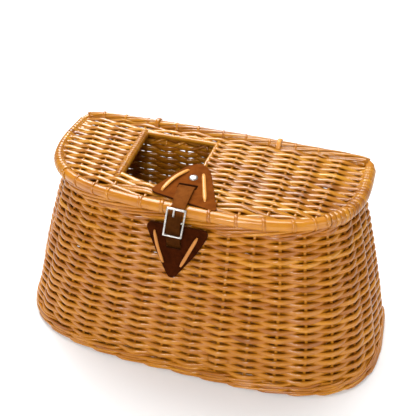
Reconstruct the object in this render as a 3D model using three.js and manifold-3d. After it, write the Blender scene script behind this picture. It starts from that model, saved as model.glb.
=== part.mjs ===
// A wicker fishing creel: a willow basket with a flat back and leaning walls, and a willow lid with a
// hole for the catch, tied on by two hinge loops and kept shut by a leather strap and a steel buckle.
// Millimetres, +Z up. The origin is on the ground at the middle of the base, and -Y is the front.

import * as THREE from 'three';
import { mergeVertices } from 'three/addons/utils/BufferGeometryUtils.js';
import Module from 'manifold-3d';

// Basket
const BASE_WIDTH = 381;
const BASE_DEPTH = 147;
const BASE_BACK_DEPTH = 25; // from the widest line to the back, at the base
const RIM_WIDTH = 280;
const RIM_DEPTH = 117.5;
const RIM_BACK_DEPTH = 21; // the same at the rim
const RIM_HEIGHT = 175.7;
const RIM_CROWN = 4.6; // how far the rim's middle stands above its ends
const WALL = 8;
const WALL_BULGE = 2;
const BACK_DISH = 4.3; // how far the middle of the back is drawn in
const BASE_FRONT_POWER = 3.4; // 2 is an ellipse, more is squarer
const RIM_FRONT_POWER = 2.65;
const BACK_POWER = 6;
const BASE_THICKNESS = 8;
const FOOT_BAND_HEIGHT = 13;
const RIM_BAND_HEIGHT = 14;
const BAND_PROUD = 1.5; // how far the bands stand out from the wall

// Lid
const LID_OVERHANG = 4; // from the wall's face to the middle of the rim rod
const LID_FRONT_POWER = 2.85;
const ROD_RADIUS = 5; // bare rod, along the front
const WRAP_RADIUS = 7; // the same rod wrapped, at the ends and the back
const BARE_SHARE = 0.86; // share of the lid's half width where the front rod is bare
const LID_THICKNESS = 7;

// Hole in the lid, between two bars
const HOLE_LEFT_BACK = -68.5;
const HOLE_LEFT_FRONT = -62;
const HOLE_RIGHT = 0.5;
const HOLE_FROM_BACK = 18.5; // from the line of the lid's back
const HOLE_FROM_ROD = 29; // from the middle of the front rod
const LEFT_BAR_RADIUS = 4;
const RIGHT_BAR_RADIUS = 2.2;

// Hinge loops of flat willow
const HINGE_LEFT_X = -65;
const HINGE_RIGHT_X = 58;
const LOOP_WIDTH = 5;
const LOOP_THICKNESS = 2.2;
const LOOP_CLEAR = 1.3; // between a loop and the inside of the rim band

// Leather, cane and rivet
const PATCH_THICKNESS = 2.4;
const STRAP_WIDTH = 12.7;
const STRAP_THICKNESS = 1.8;
const SKIVED_THICKNESS = 1.3; // the straps' hidden and folded ends
const SLOT_WIDTH = 16.5;
const LID_SLOT_HEIGHT = 7;
const FRONT_SLOT_HEIGHT = 9;
const CANE_WIDTH = 3.4;
const CANE_THICKNESS = 1.8;
const RIVET_HEAD_RADIUS = 4.4;
const RIVET_HEAD_HEIGHT = 1.6;
const RIVET_SHANK_RADIUS = 1.5;
const CLASP_X = -0.6;
const LID_PATCH_WIDTH = 62;
const RIVET_FROM_ROD = 37.6;
const LID_SLOT_FROM_ROD = 25.5;
const FRONT_PATCH_WIDTH = 56;
const FRONT_PATCH_DROP = 4.2; // from the rim to its upper edge
const FRONT_SLOT_DOWN = 20; // from the front patch's top to its slot
const FRONT_PATCH_REACH = 50; // height over which the front patch follows the wall's lean
const SHARP = 0.01; // radius of a corner that is left sharp

// Buckle
const BUCKLE_WIDTH = 19;
const BUCKLE_LENGTH = 28;
const BUCKLE_THICKNESS = 2.2;
const BUCKLE_CORNER = 2.2;
const BUCKLE_WINDOW_CORNER = 0.6;
const TOP_BAR = 3.2;
const LOW_BAR = 2.4;
const SIDE_BAR = 2;
const CENTRE_BAR_RADIUS = 1.1;
const CENTRE_BAR_DROP = 1; // how far it lies behind the frame's middle
const CENTRE_BAR_SHARE = 0.5; // where it crosses, from the top bar down
const BUCKLE_ANGLE = 32; // degrees above level, round the rod, of the top bar
const BUCKLE_LEAN = 8; // degrees that the buckle leans to its left
const PRONG_WIDTH = 2;
const PRONG_THICKNESS = 1.5;

// Straps, in side view
const STRAP_END = 6.4; // hidden end, past the rivet
const SHOULDER = 0.6; // where the strap lies flat, as a share of the way from slot to patch edge
const EDGE_CLEAR = 1; // past the patch's edge before the strap turns down
const ROD_TURNS = [62, BUCKLE_ANGLE, 6]; // degrees above level where the strap lies on the rod
const BAR_TURNS = [35, 0, -35]; // the same round the centre bar
const TAIL_ENTRY = 2; // above the front slot, where the tail starts to sink
const TAIL_END = 1; // below the middle of that slot
const TAIL_SINK = 1.8;
const BUCKLE_STRAP_END = 22; // hidden end, below the front slot's middle
const FOLD_TURNS = [-50, 0, 50, 90, 135, 180]; // round the centre bar
const FOLD_END = 5; // how far the folded end hangs below the centre bar
const CUT_REACH = 6; // how far a cut through a strap reaches to either side of the centre bar
const PRONG_HOLE = { low: 0.4, high: 7.5 }; // above the centre bar
const PRONG_SLIT = { low: -3.6, high: 4 };

const GAP = 0.3; // between pieces that touch
const RING_POINTS = 80;

// Outlines of the two leather patches, in shares of their width: corner, and the radius that rounds it.
// On the lid, up is measured back from the middle of the front rod; on the front, from the patch's top.
const LID_PATCH = [
  { across: -0.5, up: 0.187, round: 0.065 },
  { across: 0.489, up: -0.015, round: 0.097 },
  { across: 0.016, up: 1.29, round: 0.21 },
];
const FRONT_PATCH = [
  { across: -0.527, up: -0.062, round: 0.09 },
  { across: -0.07, up: -1.277, round: 0.18 },
  { across: 0.464, up: -0.018, round: 0.09 },
];
const LID_STITCHES = [
  [{ across: -0.323, up: 0.202 }, { across: -0.09, up: 0.777 }],
  [{ across: 0.121, up: 0.739 }, { across: 0.323, up: 0.137 }],
];
const FRONT_STITCHES = [
  [{ across: -0.388, up: -0.134 }, { across: -0.25, up: -0.705 }],
  [{ across: 0.288, up: -0.17 }, { across: 0.045, up: -0.723 }],
];

// Cross-section of a band of thick strands: share of the proudness, share of the height.
const BAND_PROFILE = [
  { out: 0, up: 0 },
  { out: 0.8, up: 0.12 },
  { out: 1, up: 0.5 },
  { out: 0.8, up: 0.88 },
  { out: 0, up: 1 },
];

const COLOURS = {
  willow: { color: 0xc98a3c, roughness: 0.45, metalness: 0 },
  rod: { color: 0xd29a4c, roughness: 0.4, metalness: 0 },
  leather: { color: 0x7a4520, roughness: 0.6, metalness: 0 },
  cane: { color: 0xdba55c, roughness: 0.45, metalness: 0 },
  steel: { color: 0xc9c9c6, roughness: 0.3, metalness: 1 },
};

const wasm = await Module();
wasm.setup();

const mix = (from, to, share) => from + (to - from) * share;
const radians = THREE.MathUtils.degToRad;
const power = (value, exponent) => Math.sign(value) * Math.abs(value) ** exponent;

// The basket's outline at a height: two half superellipses that share the widest line.
function sectionAt(height) {
  const share = height / RIM_HEIGHT;
  const bulge = 4 * WALL_BULGE * share * (1 - share);
  const back = mix(BASE_BACK_DEPTH, RIM_BACK_DEPTH, share);
  return {
    half: mix(BASE_WIDTH, RIM_WIDTH, share) / 2 + bulge,
    front: mix(BASE_DEPTH, RIM_DEPTH, share) - back + bulge,
    back,
    widest: BASE_DEPTH / 2 - back,
    frontPower: mix(BASE_FRONT_POWER, RIM_FRONT_POWER, share),
    crown: RIM_CROWN * share,
  };
}

// The lid's outline is the rim's, a little squarer in front.
function lidSection() {
  return { ...sectionAt(RIM_HEIGHT), frontPower: LID_FRONT_POWER };
}

function planPoint(section, turn, outset) {
  const half = section.half + outset;
  const front = Math.sin(turn) < 0;
  const depth = (front ? section.front : section.back) + outset;
  const exponent = 2 / (front ? section.frontPower : BACK_POWER);
  const x = half * power(Math.cos(turn), exponent);
  const reach = power(Math.sin(turn), exponent);
  const dish = BACK_DISH * Math.max(reach, 0) * (1 - (x / half) ** 2);
  return new THREE.Vector2(x, section.widest + depth * reach - dish);
}

function crownAt(section, x) {
  return section.crown * Math.max(1 - (x / (section.half + LID_OVERHANG)) ** 2, 0);
}

// Points at equal steps round an outline, from the middle of the front towards +X.
function ring(section, outset, height, count = RING_POINTS) {
  const fine = 720;
  const path = [];
  for (let i = 0; i <= fine; i += 1) {
    path.push(planPoint(section, (i / fine) * 2 * Math.PI - Math.PI / 2, outset));
  }
  const length = [0];
  for (let i = 1; i <= fine; i += 1) {
    length.push(length[i - 1] + path[i].distanceTo(path[i - 1]));
  }
  const points = [];
  let j = 1;
  for (let i = 0; i < count; i += 1) {
    const target = (length[fine] * i) / count;
    while (length[j] < target) j += 1;
    const share = (target - length[j - 1]) / (length[j] - length[j - 1]);
    const at = path[j - 1].clone().lerp(path[j], share);
    points.push(new THREE.Vector3(at.x, at.y, height + crownAt(section, at.x)));
  }
  return points;
}

// Closed surface through rings that follow each other round a closed cross-section.
function hoop(rings) {
  const count = rings[0].length;
  const positions = rings.flat().flatMap((point) => point.toArray());
  const index = [];
  rings.forEach((_, j) => {
    const next = (j + 1) % rings.length;
    for (let i = 0; i < count; i += 1) {
      const side = (i + 1) % count;
      const [a, b] = [j * count + i, j * count + side];
      const [c, d] = [next * count + side, next * count + i];
      index.push(a, b, c, a, c, d);
    }
  });
  const geometry = new THREE.BufferGeometry();
  geometry.setAttribute('position', new THREE.Float32BufferAttribute(positions, 3));
  geometry.setIndex(index);
  return geometry;
}

function band(bottom, height) {
  const rings = BAND_PROFILE.map(({ out, up }) => {
    const level = bottom + up * height;
    return ring(sectionAt(level), out * BAND_PROUD, level);
  });
  for (const level of [bottom + height, bottom]) {
    rings.push(ring(sectionAt(level), -WALL, level));
  }
  return hoop(rings);
}

function outlineShape(points) {
  return new THREE.Shape(points.map((point) => new THREE.Vector2(point.x, point.y)));
}

function extrude(shape, depth, curveSegments = 5) {
  return new THREE.ExtrudeGeometry(shape, { depth, bevelEnabled: false, curveSegments });
}

// A shape with its corners rounded by arcs.
function roundedShape(corners) {
  const shape = new THREE.Shape();
  corners.forEach((corner, i) => {
    const here = new THREE.Vector2(corner.x, corner.y);
    const before = corners.at(i - 1);
    const after = corners[(i + 1) % corners.length];
    const toBefore = new THREE.Vector2(before.x, before.y).sub(here).normalize();
    const toAfter = new THREE.Vector2(after.x, after.y).sub(here).normalize();
    const halfAngle = Math.acos(toBefore.dot(toAfter)) / 2;
    const run = corner.r / Math.tan(halfAngle);
    const start = here.clone().addScaledVector(toBefore, run);
    const middle = toBefore.clone().add(toAfter).normalize();
    const centre = here.clone().addScaledVector(middle, corner.r / Math.sin(halfAngle));
    const end = here.clone().addScaledVector(toAfter, run);
    if (i === 0) shape.moveTo(start.x, start.y);
    else shape.lineTo(start.x, start.y);
    const from = Math.atan2(start.y - centre.y, start.x - centre.x);
    const to = Math.atan2(end.y - centre.y, end.x - centre.x);
    const clockwise = toBefore.cross(toAfter) > 0;
    shape.absarc(centre.x, centre.y, corner.r, from, to, clockwise);
  });
  shape.closePath();
  return shape;
}

function toSolid(geometry) {
  const bare = new THREE.BufferGeometry();
  bare.setAttribute('position', geometry.getAttribute('position'));
  bare.setIndex(geometry.getIndex());
  const merged = mergeVertices(bare, 1e-4);
  const vertProperties = new Float32Array(merged.getAttribute('position').array);
  const triVerts = new Uint32Array(merged.getIndex().array);
  return new wasm.Manifold(new wasm.Mesh({ numProp: 3, vertProperties, triVerts }));
}

function toGeometry(solid) {
  const mesh = solid.getMesh();
  const geometry = new THREE.BufferGeometry();
  geometry.setAttribute('position', new THREE.BufferAttribute(mesh.vertProperties, 3));
  geometry.setIndex(new THREE.BufferAttribute(mesh.triVerts, 1));
  return geometry;
}

function cut(geometry, tools) {
  return toGeometry(tools.reduce((solid, tool) => solid.subtract(toSolid(tool)), toSolid(geometry)));
}

function join(geometries) {
  return toGeometry(geometries.map(toSolid).reduce((sum, solid) => sum.add(solid)));
}

function boxBetween(low, high) {
  const size = high.map((value, i) => value - low[i]);
  const centre = high.map((value, i) => (value + low[i]) / 2);
  return new THREE.BoxGeometry(...size).translate(...centre);
}

// Side views are drawn as (distance out to the front, height) and extruded across the basket.
function acrossBasket(shape, width, centreX = 0) {
  const geometry = extrude(shape, width).translate(0, 0, -width / 2);
  const basis = new THREE.Matrix4().makeBasis(
    new THREE.Vector3(0, -1, 0),
    new THREE.Vector3(0, 0, 1),
    new THREE.Vector3(-1, 0, 0),
  );
  return geometry.applyMatrix4(basis).translate(centreX, 0, 0);
}

const group = new THREE.Group();

function place(name, geometry, look, parent = group) {
  const mesh = new THREE.Mesh(geometry, new THREE.MeshStandardMaterial(COLOURS[look]));
  mesh.name = name;
  parent.add(mesh);
  return mesh;
}

// Basket: base, foot band, wall and rim band, stacked with a small gap.
const wallBottom = FOOT_BAND_HEIGHT + GAP;
const bandBottom = RIM_HEIGHT - RIM_BAND_HEIGHT;
const wallTop = bandBottom - GAP;
const WALL_STEPS = 5;

function basePanel() {
  const outline = outlineShape(ring(sectionAt(BASE_THICKNESS), -WALL - GAP, 0));
  return extrude(outline, BASE_THICKNESS);
}

function wallShell() {
  const rings = [];
  for (let i = 0; i <= WALL_STEPS; i += 1) {
    const level = mix(wallBottom, wallTop, i / WALL_STEPS);
    rings.push(ring(sectionAt(level), 0, level));
  }
  for (let i = WALL_STEPS; i >= 0; i -= 1) {
    const level = mix(wallBottom, wallTop, i / WALL_STEPS);
    rings.push(ring(sectionAt(level), -WALL, level));
  }
  return hoop(rings);
}

// Lid: everything is set out from the level of the middle of its rim rod, at the lid's ends.
const lidLevel = RIM_HEIGHT + GAP + WRAP_RADIUS;
const lid = lidSection();

function isBare(point) {
  return point.y < lid.widest && Math.abs(point.x) < BARE_SHARE * lid.half;
}

function rodRing(centre) {
  const sides = 8;
  const rings = [];
  for (let j = 0; j < sides; j += 1) {
    const angle = (j / sides) * 2 * Math.PI;
    rings.push(centre.map((point, i) => {
      const before = centre.at(i - 1);
      const after = centre[(i + 1) % centre.length];
      const normal = new THREE.Vector2(after.y - before.y, before.x - after.x).normalize();
      const radius = isBare(point) ? ROD_RADIUS : WRAP_RADIUS;
      const out = radius * Math.cos(angle);
      const up = radius * Math.sin(angle);
      return new THREE.Vector3(point.x + normal.x * out, point.y + normal.y * out, point.z + up);
    }));
  }
  return hoop(rings);
}

// A slab as wide as the lid, arched like its rim.
function archedSlab(low, high) {
  const steps = 16;
  const reach = lid.half + LID_OVERHANG;
  const top = [];
  const bottom = [];
  for (let i = 0; i <= steps; i += 1) {
    const x = mix(-reach, reach, i / steps);
    top.push(new THREE.Vector2(x, high + crownAt(lid, x)));
    bottom.unshift(new THREE.Vector2(x, low + crownAt(lid, x)));
  }
  const slab = extrude(new THREE.Shape([...bottom, ...top]), 2 * BASE_DEPTH);
  return slab.translate(0, 0, -BASE_DEPTH).rotateX(Math.PI / 2);
}

// The cut-out holds the hole and both bars.
const holeBack = lid.widest + lid.back - HOLE_FROM_BACK;
const holeFront = lid.widest - lid.front - LID_OVERHANG + HOLE_FROM_ROD;
const cutOut = {
  leftBack: HOLE_LEFT_BACK - 2 * LEFT_BAR_RADIUS - GAP,
  leftFront: HOLE_LEFT_FRONT - 2 * LEFT_BAR_RADIUS - GAP,
  right: HOLE_RIGHT + 2 * RIGHT_BAR_RADIUS + GAP,
};

function holeCutter() {
  const shape = new THREE.Shape([
    new THREE.Vector2(cutOut.leftBack, holeBack),
    new THREE.Vector2(cutOut.leftFront, holeFront),
    new THREE.Vector2(cutOut.right, holeFront),
    new THREE.Vector2(cutOut.right, holeBack),
  ]);
  return extrude(shape, 2 * RIM_HEIGHT);
}

function lidPanel() {
  const outline = outlineShape(ring(lid, LID_OVERHANG - WRAP_RADIUS - 2 * GAP, 0));
  const slab = archedSlab(lidLevel - LID_THICKNESS / 2, lidLevel + LID_THICKNESS / 2);
  const panel = toSolid(slab).intersect(toSolid(extrude(outline, 2 * RIM_HEIGHT)));
  return cut(toGeometry(panel), [holeCutter(), ...hinges.map(loopSlit)]);
}

function holeBar(radius, xBack, xFront) {
  const ends = [[xBack, holeBack - GAP], [xFront, holeFront + GAP]];
  const [back, front] = ends.map(([x, y]) => new THREE.Vector3(x, y, lidLevel + crownAt(lid, x)));
  const cornerClear = (Math.abs(xFront - xBack) / (back.y - front.y)) * radius;
  const length = back.distanceTo(front) - cornerClear;
  const bar = new THREE.CylinderGeometry(radius, radius, length, 10);
  const turn = new THREE.Quaternion().setFromUnitVectors(
    new THREE.Vector3(0, 1, 0),
    back.clone().sub(front).normalize(),
  );
  bar.applyQuaternion(turn);
  return bar.translate(...back.add(front).multiplyScalar(0.5).toArray());
}

// Each loop holds the lid's back rod and the rim band together, through slits in lid and wall.
function hinge(x) {
  const backLine = (section, outset) => {
    const points = ring(section, outset, 0, 8 * RING_POINTS);
    const near = points.filter((point) => point.y > section.widest);
    return near.reduce((a, b) => (Math.abs(a.x - x) < Math.abs(b.x - x) ? a : b)).y;
  };
  const rim = sectionAt(RIM_HEIGHT);
  const crown = crownAt(lid, x);
  const hole = {
    inner: backLine(rim, -WALL) - LOOP_CLEAR,
    outer: backLine(lid, LID_OVERHANG) + WRAP_RADIUS + GAP,
    low: bandBottom + crownAt(sectionAt(bandBottom), x) - GAP,
    high: lidLevel + crown + WRAP_RADIUS + GAP,
  };
  return { x, hole };
}

const hinges = [hinge(HINGE_LEFT_X), hinge(HINGE_RIGHT_X)];

function hingeLoop({ x, hole }) {
  const rectangle = (grow) => [
    { x: -hole.outer - grow, y: hole.low - grow, r: LOOP_THICKNESS / 2 + grow },
    { x: -hole.inner + grow, y: hole.low - grow, r: LOOP_THICKNESS / 2 + grow },
    { x: -hole.inner + grow, y: hole.high + grow, r: LOOP_THICKNESS / 2 + grow },
    { x: -hole.outer - grow, y: hole.high + grow, r: LOOP_THICKNESS / 2 + grow },
  ];
  const shape = roundedShape(rectangle(LOOP_THICKNESS));
  shape.holes.push(roundedShape(rectangle(0)));
  return acrossBasket(shape, LOOP_WIDTH, x);
}

function loopSlit({ x, hole }) {
  const side = LOOP_WIDTH / 2 + GAP;
  const inner = hole.inner - LOOP_THICKNESS - GAP;
  return boxBetween([x - side, inner, hole.low - LOOP_THICKNESS - GAP], [x + side, hole.outer, hole.high]);
}

// Clasp: levels and points are in side view, (out, up), in the plane of the clasp.
const hiddenStrap = SKIVED_THICKNESS + 3 * GAP;
const claspLevel = lidLevel + lid.crown;
const rod = new THREE.Vector2(lid.front + LID_OVERHANG - lid.widest, claspLevel);
const rodY = -rod.x;
const rivetY = rodY + RIVET_FROM_ROD;
const lidSlotY = rodY + LID_SLOT_FROM_ROD;
const lidPatchLow = claspLevel + Math.max(LID_THICKNESS / 2 + hiddenStrap, ROD_RADIUS + GAP);
const lidPatchHigh = lidPatchLow + PATCH_THICKNESS;

// The front patch lies in a plane that leans with the wall.
function wallOut(height) {
  const section = sectionAt(height / (1 + RIM_CROWN / RIM_HEIGHT)); // the crown lifts the middle
  return section.front - section.widest;
}
const frontPatchTop = RIM_HEIGHT - FRONT_PATCH_DROP;
const wallFlare = wallOut(frontPatchTop - FRONT_PATCH_REACH) - wallOut(frontPatchTop);
const patchDown = new THREE.Vector2(wallFlare, -FRONT_PATCH_REACH).normalize();
const patchOut = new THREE.Vector2(-patchDown.y, patchDown.x);
const patchSeat = GAP + Math.max(hiddenStrap, BAND_PROUD);
const patchTop = new THREE.Vector2(wallOut(frontPatchTop), frontPatchTop);
patchTop.addScaledVector(patchOut, patchSeat);

// A point of the front patch: distance down from its top, height above its inner face.
const onPatch = (down, above) =>
  patchTop.clone().addScaledVector(patchDown, down).addScaledVector(patchOut, above);

// Points of a patch in millimetres, from its table.
function onLeather(points, width, fromY) {
  return points.map(({ across, up, round = 0 }) => (
    { x: across * width, y: fromY + up * width, r: round * width }
  ));
}
const lidCorners = onLeather(LID_PATCH, LID_PATCH_WIDTH, rodY);
const lidStitches = LID_STITCHES.map((ends) => onLeather(ends, LID_PATCH_WIDTH, rodY));
const frontCorners = onLeather(FRONT_PATCH, FRONT_PATCH_WIDTH, 0);
const frontStitches = FRONT_STITCHES.map((ends) => onLeather(ends, FRONT_PATCH_WIDTH, 0));

const angleTo = (from, to) => Math.atan2(to.y - from.y, to.x - from.x);

function stitchHoles([start, end]) {
  const size = CANE_THICKNESS + 2 * GAP;
  return [[start, 1], [end, -1]].map(([at, side]) => {
    const hole = new THREE.BoxGeometry(size, CANE_WIDTH + 2 * GAP, 4 * PATCH_THICKNESS);
    hole.translate((side * CANE_THICKNESS) / 2, 0, 0);
    return hole.rotateZ(angleTo(start, end)).translate(at.x, at.y, 0);
  });
}

// A cane stitch: a flat staple that lies on the leather with its ends through it.
function stitch([start, end]) {
  const length = Math.hypot(end.x - start.x, end.y - start.y);
  const high = PATCH_THICKNESS + GAP;
  const round = CANE_THICKNESS * 0.6;
  const shape = roundedShape([
    { x: 0, y: 0, r: SHARP },
    { x: CANE_THICKNESS, y: 0, r: SHARP },
    { x: CANE_THICKNESS, y: high, r: SHARP },
    { x: length - CANE_THICKNESS, y: high, r: SHARP },
    { x: length - CANE_THICKNESS, y: 0, r: SHARP },
    { x: length, y: 0, r: SHARP },
    { x: length, y: high + CANE_THICKNESS, r: round },
    { x: 0, y: high + CANE_THICKNESS, r: round },
  ]);
  const staple = extrude(shape, CANE_WIDTH, 3).translate(0, 0, -CANE_WIDTH / 2);
  return staple.rotateX(Math.PI / 2).rotateZ(angleTo(start, end)).translate(start.x, start.y, 0);
}

function rivetCutter(low, high) {
  const radius = RIVET_SHANK_RADIUS + GAP;
  const cutter = new THREE.CylinderGeometry(radius, radius, high - low, 12);
  return cutter.rotateX(Math.PI / 2).translate(CLASP_X, rivetY, (low + high) / 2);
}

function lidPatch() {
  const leather = extrude(roundedShape(lidCorners), PATCH_THICKNESS);
  const slot = new THREE.BoxGeometry(SLOT_WIDTH, LID_SLOT_HEIGHT, 4 * PATCH_THICKNESS);
  slot.translate(CLASP_X, lidSlotY, 0);
  const cutters = [slot, rivetCutter(-PATCH_THICKNESS, 2 * PATCH_THICKNESS)];
  const holes = lidStitches.flatMap(stitchHoles);
  return cut(leather, [...cutters, ...holes]).translate(0, 0, lidPatchLow);
}

function rivet() {
  const low = lidPatchLow - GAP - SKIVED_THICKNESS;
  const seat = lidPatchHigh + GAP;
  const profile = [
    new THREE.Vector2(0, low),
    new THREE.Vector2(RIVET_SHANK_RADIUS, low),
    new THREE.Vector2(RIVET_SHANK_RADIUS, seat),
    new THREE.Vector2(RIVET_HEAD_RADIUS, seat),
    new THREE.Vector2(RIVET_HEAD_RADIUS * 0.85, seat + RIVET_HEAD_HEIGHT * 0.6),
    new THREE.Vector2(RIVET_HEAD_RADIUS * 0.45, seat + RIVET_HEAD_HEIGHT),
    new THREE.Vector2(0, seat + RIVET_HEAD_HEIGHT),
  ];
  return new THREE.LatheGeometry(profile, 12).rotateX(Math.PI / 2).translate(CLASP_X, rivetY, 0);
}

// Buckle: where the middles of its three bars are, in side view.
const polar = (degrees, radius) =>
  new THREE.Vector2(Math.cos(radians(degrees)), Math.sin(radians(degrees))).multiplyScalar(radius);
const bend = 2 * GAP; // clearance beside a strap that is bent
const topBarReach = ROD_RADIUS + STRAP_THICKNESS + 2 * bend + BUCKLE_THICKNESS / 2;
const topBarAt = rod.clone().add(polar(BUCKLE_ANGLE, topBarReach));
const span = BUCKLE_LENGTH - (TOP_BAR + LOW_BAR) / 2;
const lowStack = PATCH_THICKNESS + 2 * SKIVED_THICKNESS + STRAP_THICKNESS + 4 * GAP + bend;
const lowBarSeat = onPatch(frontPatchTop - (topBarAt.y - span), lowStack + BUCKLE_THICKNESS / 2);
const buckleDown = lowBarSeat.sub(topBarAt).normalize();
const buckleOut = new THREE.Vector2(-buckleDown.y, buckleDown.x);
const lowBarAt = topBarAt.clone().addScaledVector(buckleDown, span);
const centreBarAt = topBarAt.clone()
  .addScaledVector(buckleDown, span * CENTRE_BAR_SHARE)
  .addScaledVector(buckleOut, -CENTRE_BAR_DROP);

// Points near the centre bar: by distance out and up, or by the angle above straight out.
const nearBar = (out, up) =>
  centreBarAt.clone().addScaledVector(buckleOut, out).addScaledVector(buckleDown, -up);
const roundBar = (degrees, radius) => nearBar(...polar(degrees, radius).toArray());

const leanSlope = Math.tan(radians(BUCKLE_LEAN));
const slotX = CLASP_X - leanSlope * span;

// A strap leans with the buckle between its bars, and runs straight again a little above and below.
function leanStrap(geometry) {
  const { clamp, smoothstep } = THREE.MathUtils;
  const position = geometry.getAttribute('position');
  const fade = TOP_BAR + LOW_BAR;
  for (let i = 0; i < position.count; i += 1) {
    const x = position.getX(i);
    const at = new THREE.Vector2(-position.getY(i), position.getZ(i));
    const down = at.clone().sub(topBarAt).dot(buckleDown);
    const held = smoothstep(down, -fade, 0) * (1 - smoothstep(down, span, span + fade));
    at.addScaledVector(buckleDown, leanSlope * (x - CLASP_X) * held);
    position.setXYZ(i, x - leanSlope * clamp(down, 0, span), -at.x, at.y);
  }
  return geometry;
}

// A strap in side view: a smooth line through points, with a thickness at each.
function ribbon(stops, steps = 64) {
  const curve = new THREE.SplineCurve(stops.map(({ at }) => at));
  const upper = [];
  const lower = [];
  for (let i = 0; i <= steps; i += 1) {
    const t = i / steps;
    const at = curve.getPoint(t);
    const tangent = curve.getTangent(t);
    const normal = new THREE.Vector2(-tangent.y, tangent.x);
    const stop = Math.min(Math.floor(t * (stops.length - 1)), stops.length - 2);
    const share = t * (stops.length - 1) - stop;
    const thickness = mix(stops[stop].thick, stops[stop + 1].thick, share);
    upper.push(at.clone().addScaledVector(normal, thickness / 2));
    lower.unshift(at.clone().addScaledVector(normal, -thickness / 2));
  }
  return acrossBasket(new THREE.Shape([...upper, ...lower]), STRAP_WIDTH, CLASP_X);
}

// A cut through a strap beside the centre bar, as wide as the prong with its clearance.
function strapCutter({ low, high }) {
  const corners = [[-CUT_REACH, low], [CUT_REACH, low], [CUT_REACH, high], [-CUT_REACH, high]];
  const shape = new THREE.Shape(corners.map(([out, up]) => nearBar(out, up)));
  return acrossBasket(shape, PRONG_WIDTH + 2 * GAP, CLASP_X);
}

const full = STRAP_THICKNESS;
const thin = SKIVED_THICKNESS;

// Thin end under the lid patch, out of its slot, round the rod, and through the buckle.
function closingStrap() {
  const hidden = lidPatchLow - GAP - thin / 2;
  const over = lidPatchHigh + GAP + full / 2;
  const slotOut = -lidSlotY;
  const [left, right] = lidCorners;
  const edge = -mix(left.y, right.y, (CLASP_X - left.x) / (right.x - left.x));
  const onRod = (degrees) => rod.clone().add(polar(degrees, ROD_RADIUS + bend + full / 2));
  const overBar = CENTRE_BAR_RADIUS + thin + 2 * GAP + full / 2;
  const behindLow = BUCKLE_THICKNESS / 2 + GAP + bend + full / 2;
  const tail = PATCH_THICKNESS + GAP + thin + bend + full / 2;
  const stops = [
    { at: new THREE.Vector2(-rivetY - STRAP_END, hidden), thick: thin },
    { at: new THREE.Vector2(-rivetY, hidden), thick: thin },
    { at: new THREE.Vector2(slotOut - LID_SLOT_HEIGHT / 2, hidden), thick: thin },
    { at: new THREE.Vector2(slotOut + LID_SLOT_HEIGHT / 2, over), thick: full },
    { at: new THREE.Vector2(mix(slotOut, edge, SHOULDER), over), thick: full },
    { at: new THREE.Vector2(edge + EDGE_CLEAR, over), thick: full },
    ...ROD_TURNS.map((degrees) => ({ at: onRod(degrees), thick: full })),
    ...BAR_TURNS.map((degrees) => ({ at: roundBar(degrees, overBar), thick: full })),
    { at: lowBarAt.clone().addScaledVector(buckleOut, -behindLow), thick: full },
    { at: onPatch(FRONT_SLOT_DOWN - FRONT_SLOT_HEIGHT / 2 - TAIL_ENTRY, tail), thick: full },
    { at: onPatch(FRONT_SLOT_DOWN + TAIL_END, tail - TAIL_SINK), thick: full },
  ];
  const rivetHole = rivetCutter(lidPatchLow - PATCH_THICKNESS, lidPatchLow);
  return leanStrap(cut(ribbon(stops, 84), [rivetHole, strapCutter(PRONG_HOLE)]));
}

// Thin end behind the front patch, out of its slot, up to the centre bar and folded round it.
function buckleStrap() {
  const hidden = -GAP - thin / 2;
  const half = FRONT_SLOT_HEIGHT / 2;
  const fold = CENTRE_BAR_RADIUS + GAP + thin / 2;
  const behindLow = BUCKLE_THICKNESS / 2 + GAP + bend + full + bend + thin / 2;
  const places = [
    onPatch(FRONT_SLOT_DOWN + BUCKLE_STRAP_END, hidden),
    onPatch(FRONT_SLOT_DOWN + 2 * half, hidden),
    onPatch(FRONT_SLOT_DOWN + half, hidden),
    onPatch(FRONT_SLOT_DOWN - half, PATCH_THICKNESS + GAP + thin / 2),
    lowBarAt.clone().addScaledVector(buckleOut, -behindLow),
    ...FOLD_TURNS.map((degrees) => roundBar(degrees, fold)),
    nearBar(-fold - GAP, -FOLD_END),
  ];
  const stops = places.map((at) => ({ at, thick: thin }));
  return leanStrap(cut(ribbon(stops, 72), [strapCutter(PRONG_SLIT)]));
}

function frontPatch() {
  const leather = extrude(roundedShape(frontCorners), PATCH_THICKNESS);
  const slot = new THREE.BoxGeometry(SLOT_WIDTH, FRONT_SLOT_HEIGHT, 4 * PATCH_THICKNESS);
  slot.translate(slotX, -FRONT_SLOT_DOWN, 0);
  return cut(leather, [slot, ...frontStitches.flatMap(stitchHoles)]);
}

// A frame whose X runs across, Y up the drawn plane and Z out of it.
function planeFrame(x, origin, up, out, turn = 0) {
  const frame = new THREE.Group();
  const basis = new THREE.Matrix4().makeBasis(
    new THREE.Vector3(1, 0, 0),
    new THREE.Vector3(0, -up.x, up.y),
    new THREE.Vector3(0, -out.x, out.y),
  );
  frame.quaternion.setFromRotationMatrix(basis);
  frame.rotateZ(turn);
  frame.position.set(x, -origin.x, origin.y);
  group.add(frame);
  return frame;
}

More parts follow.
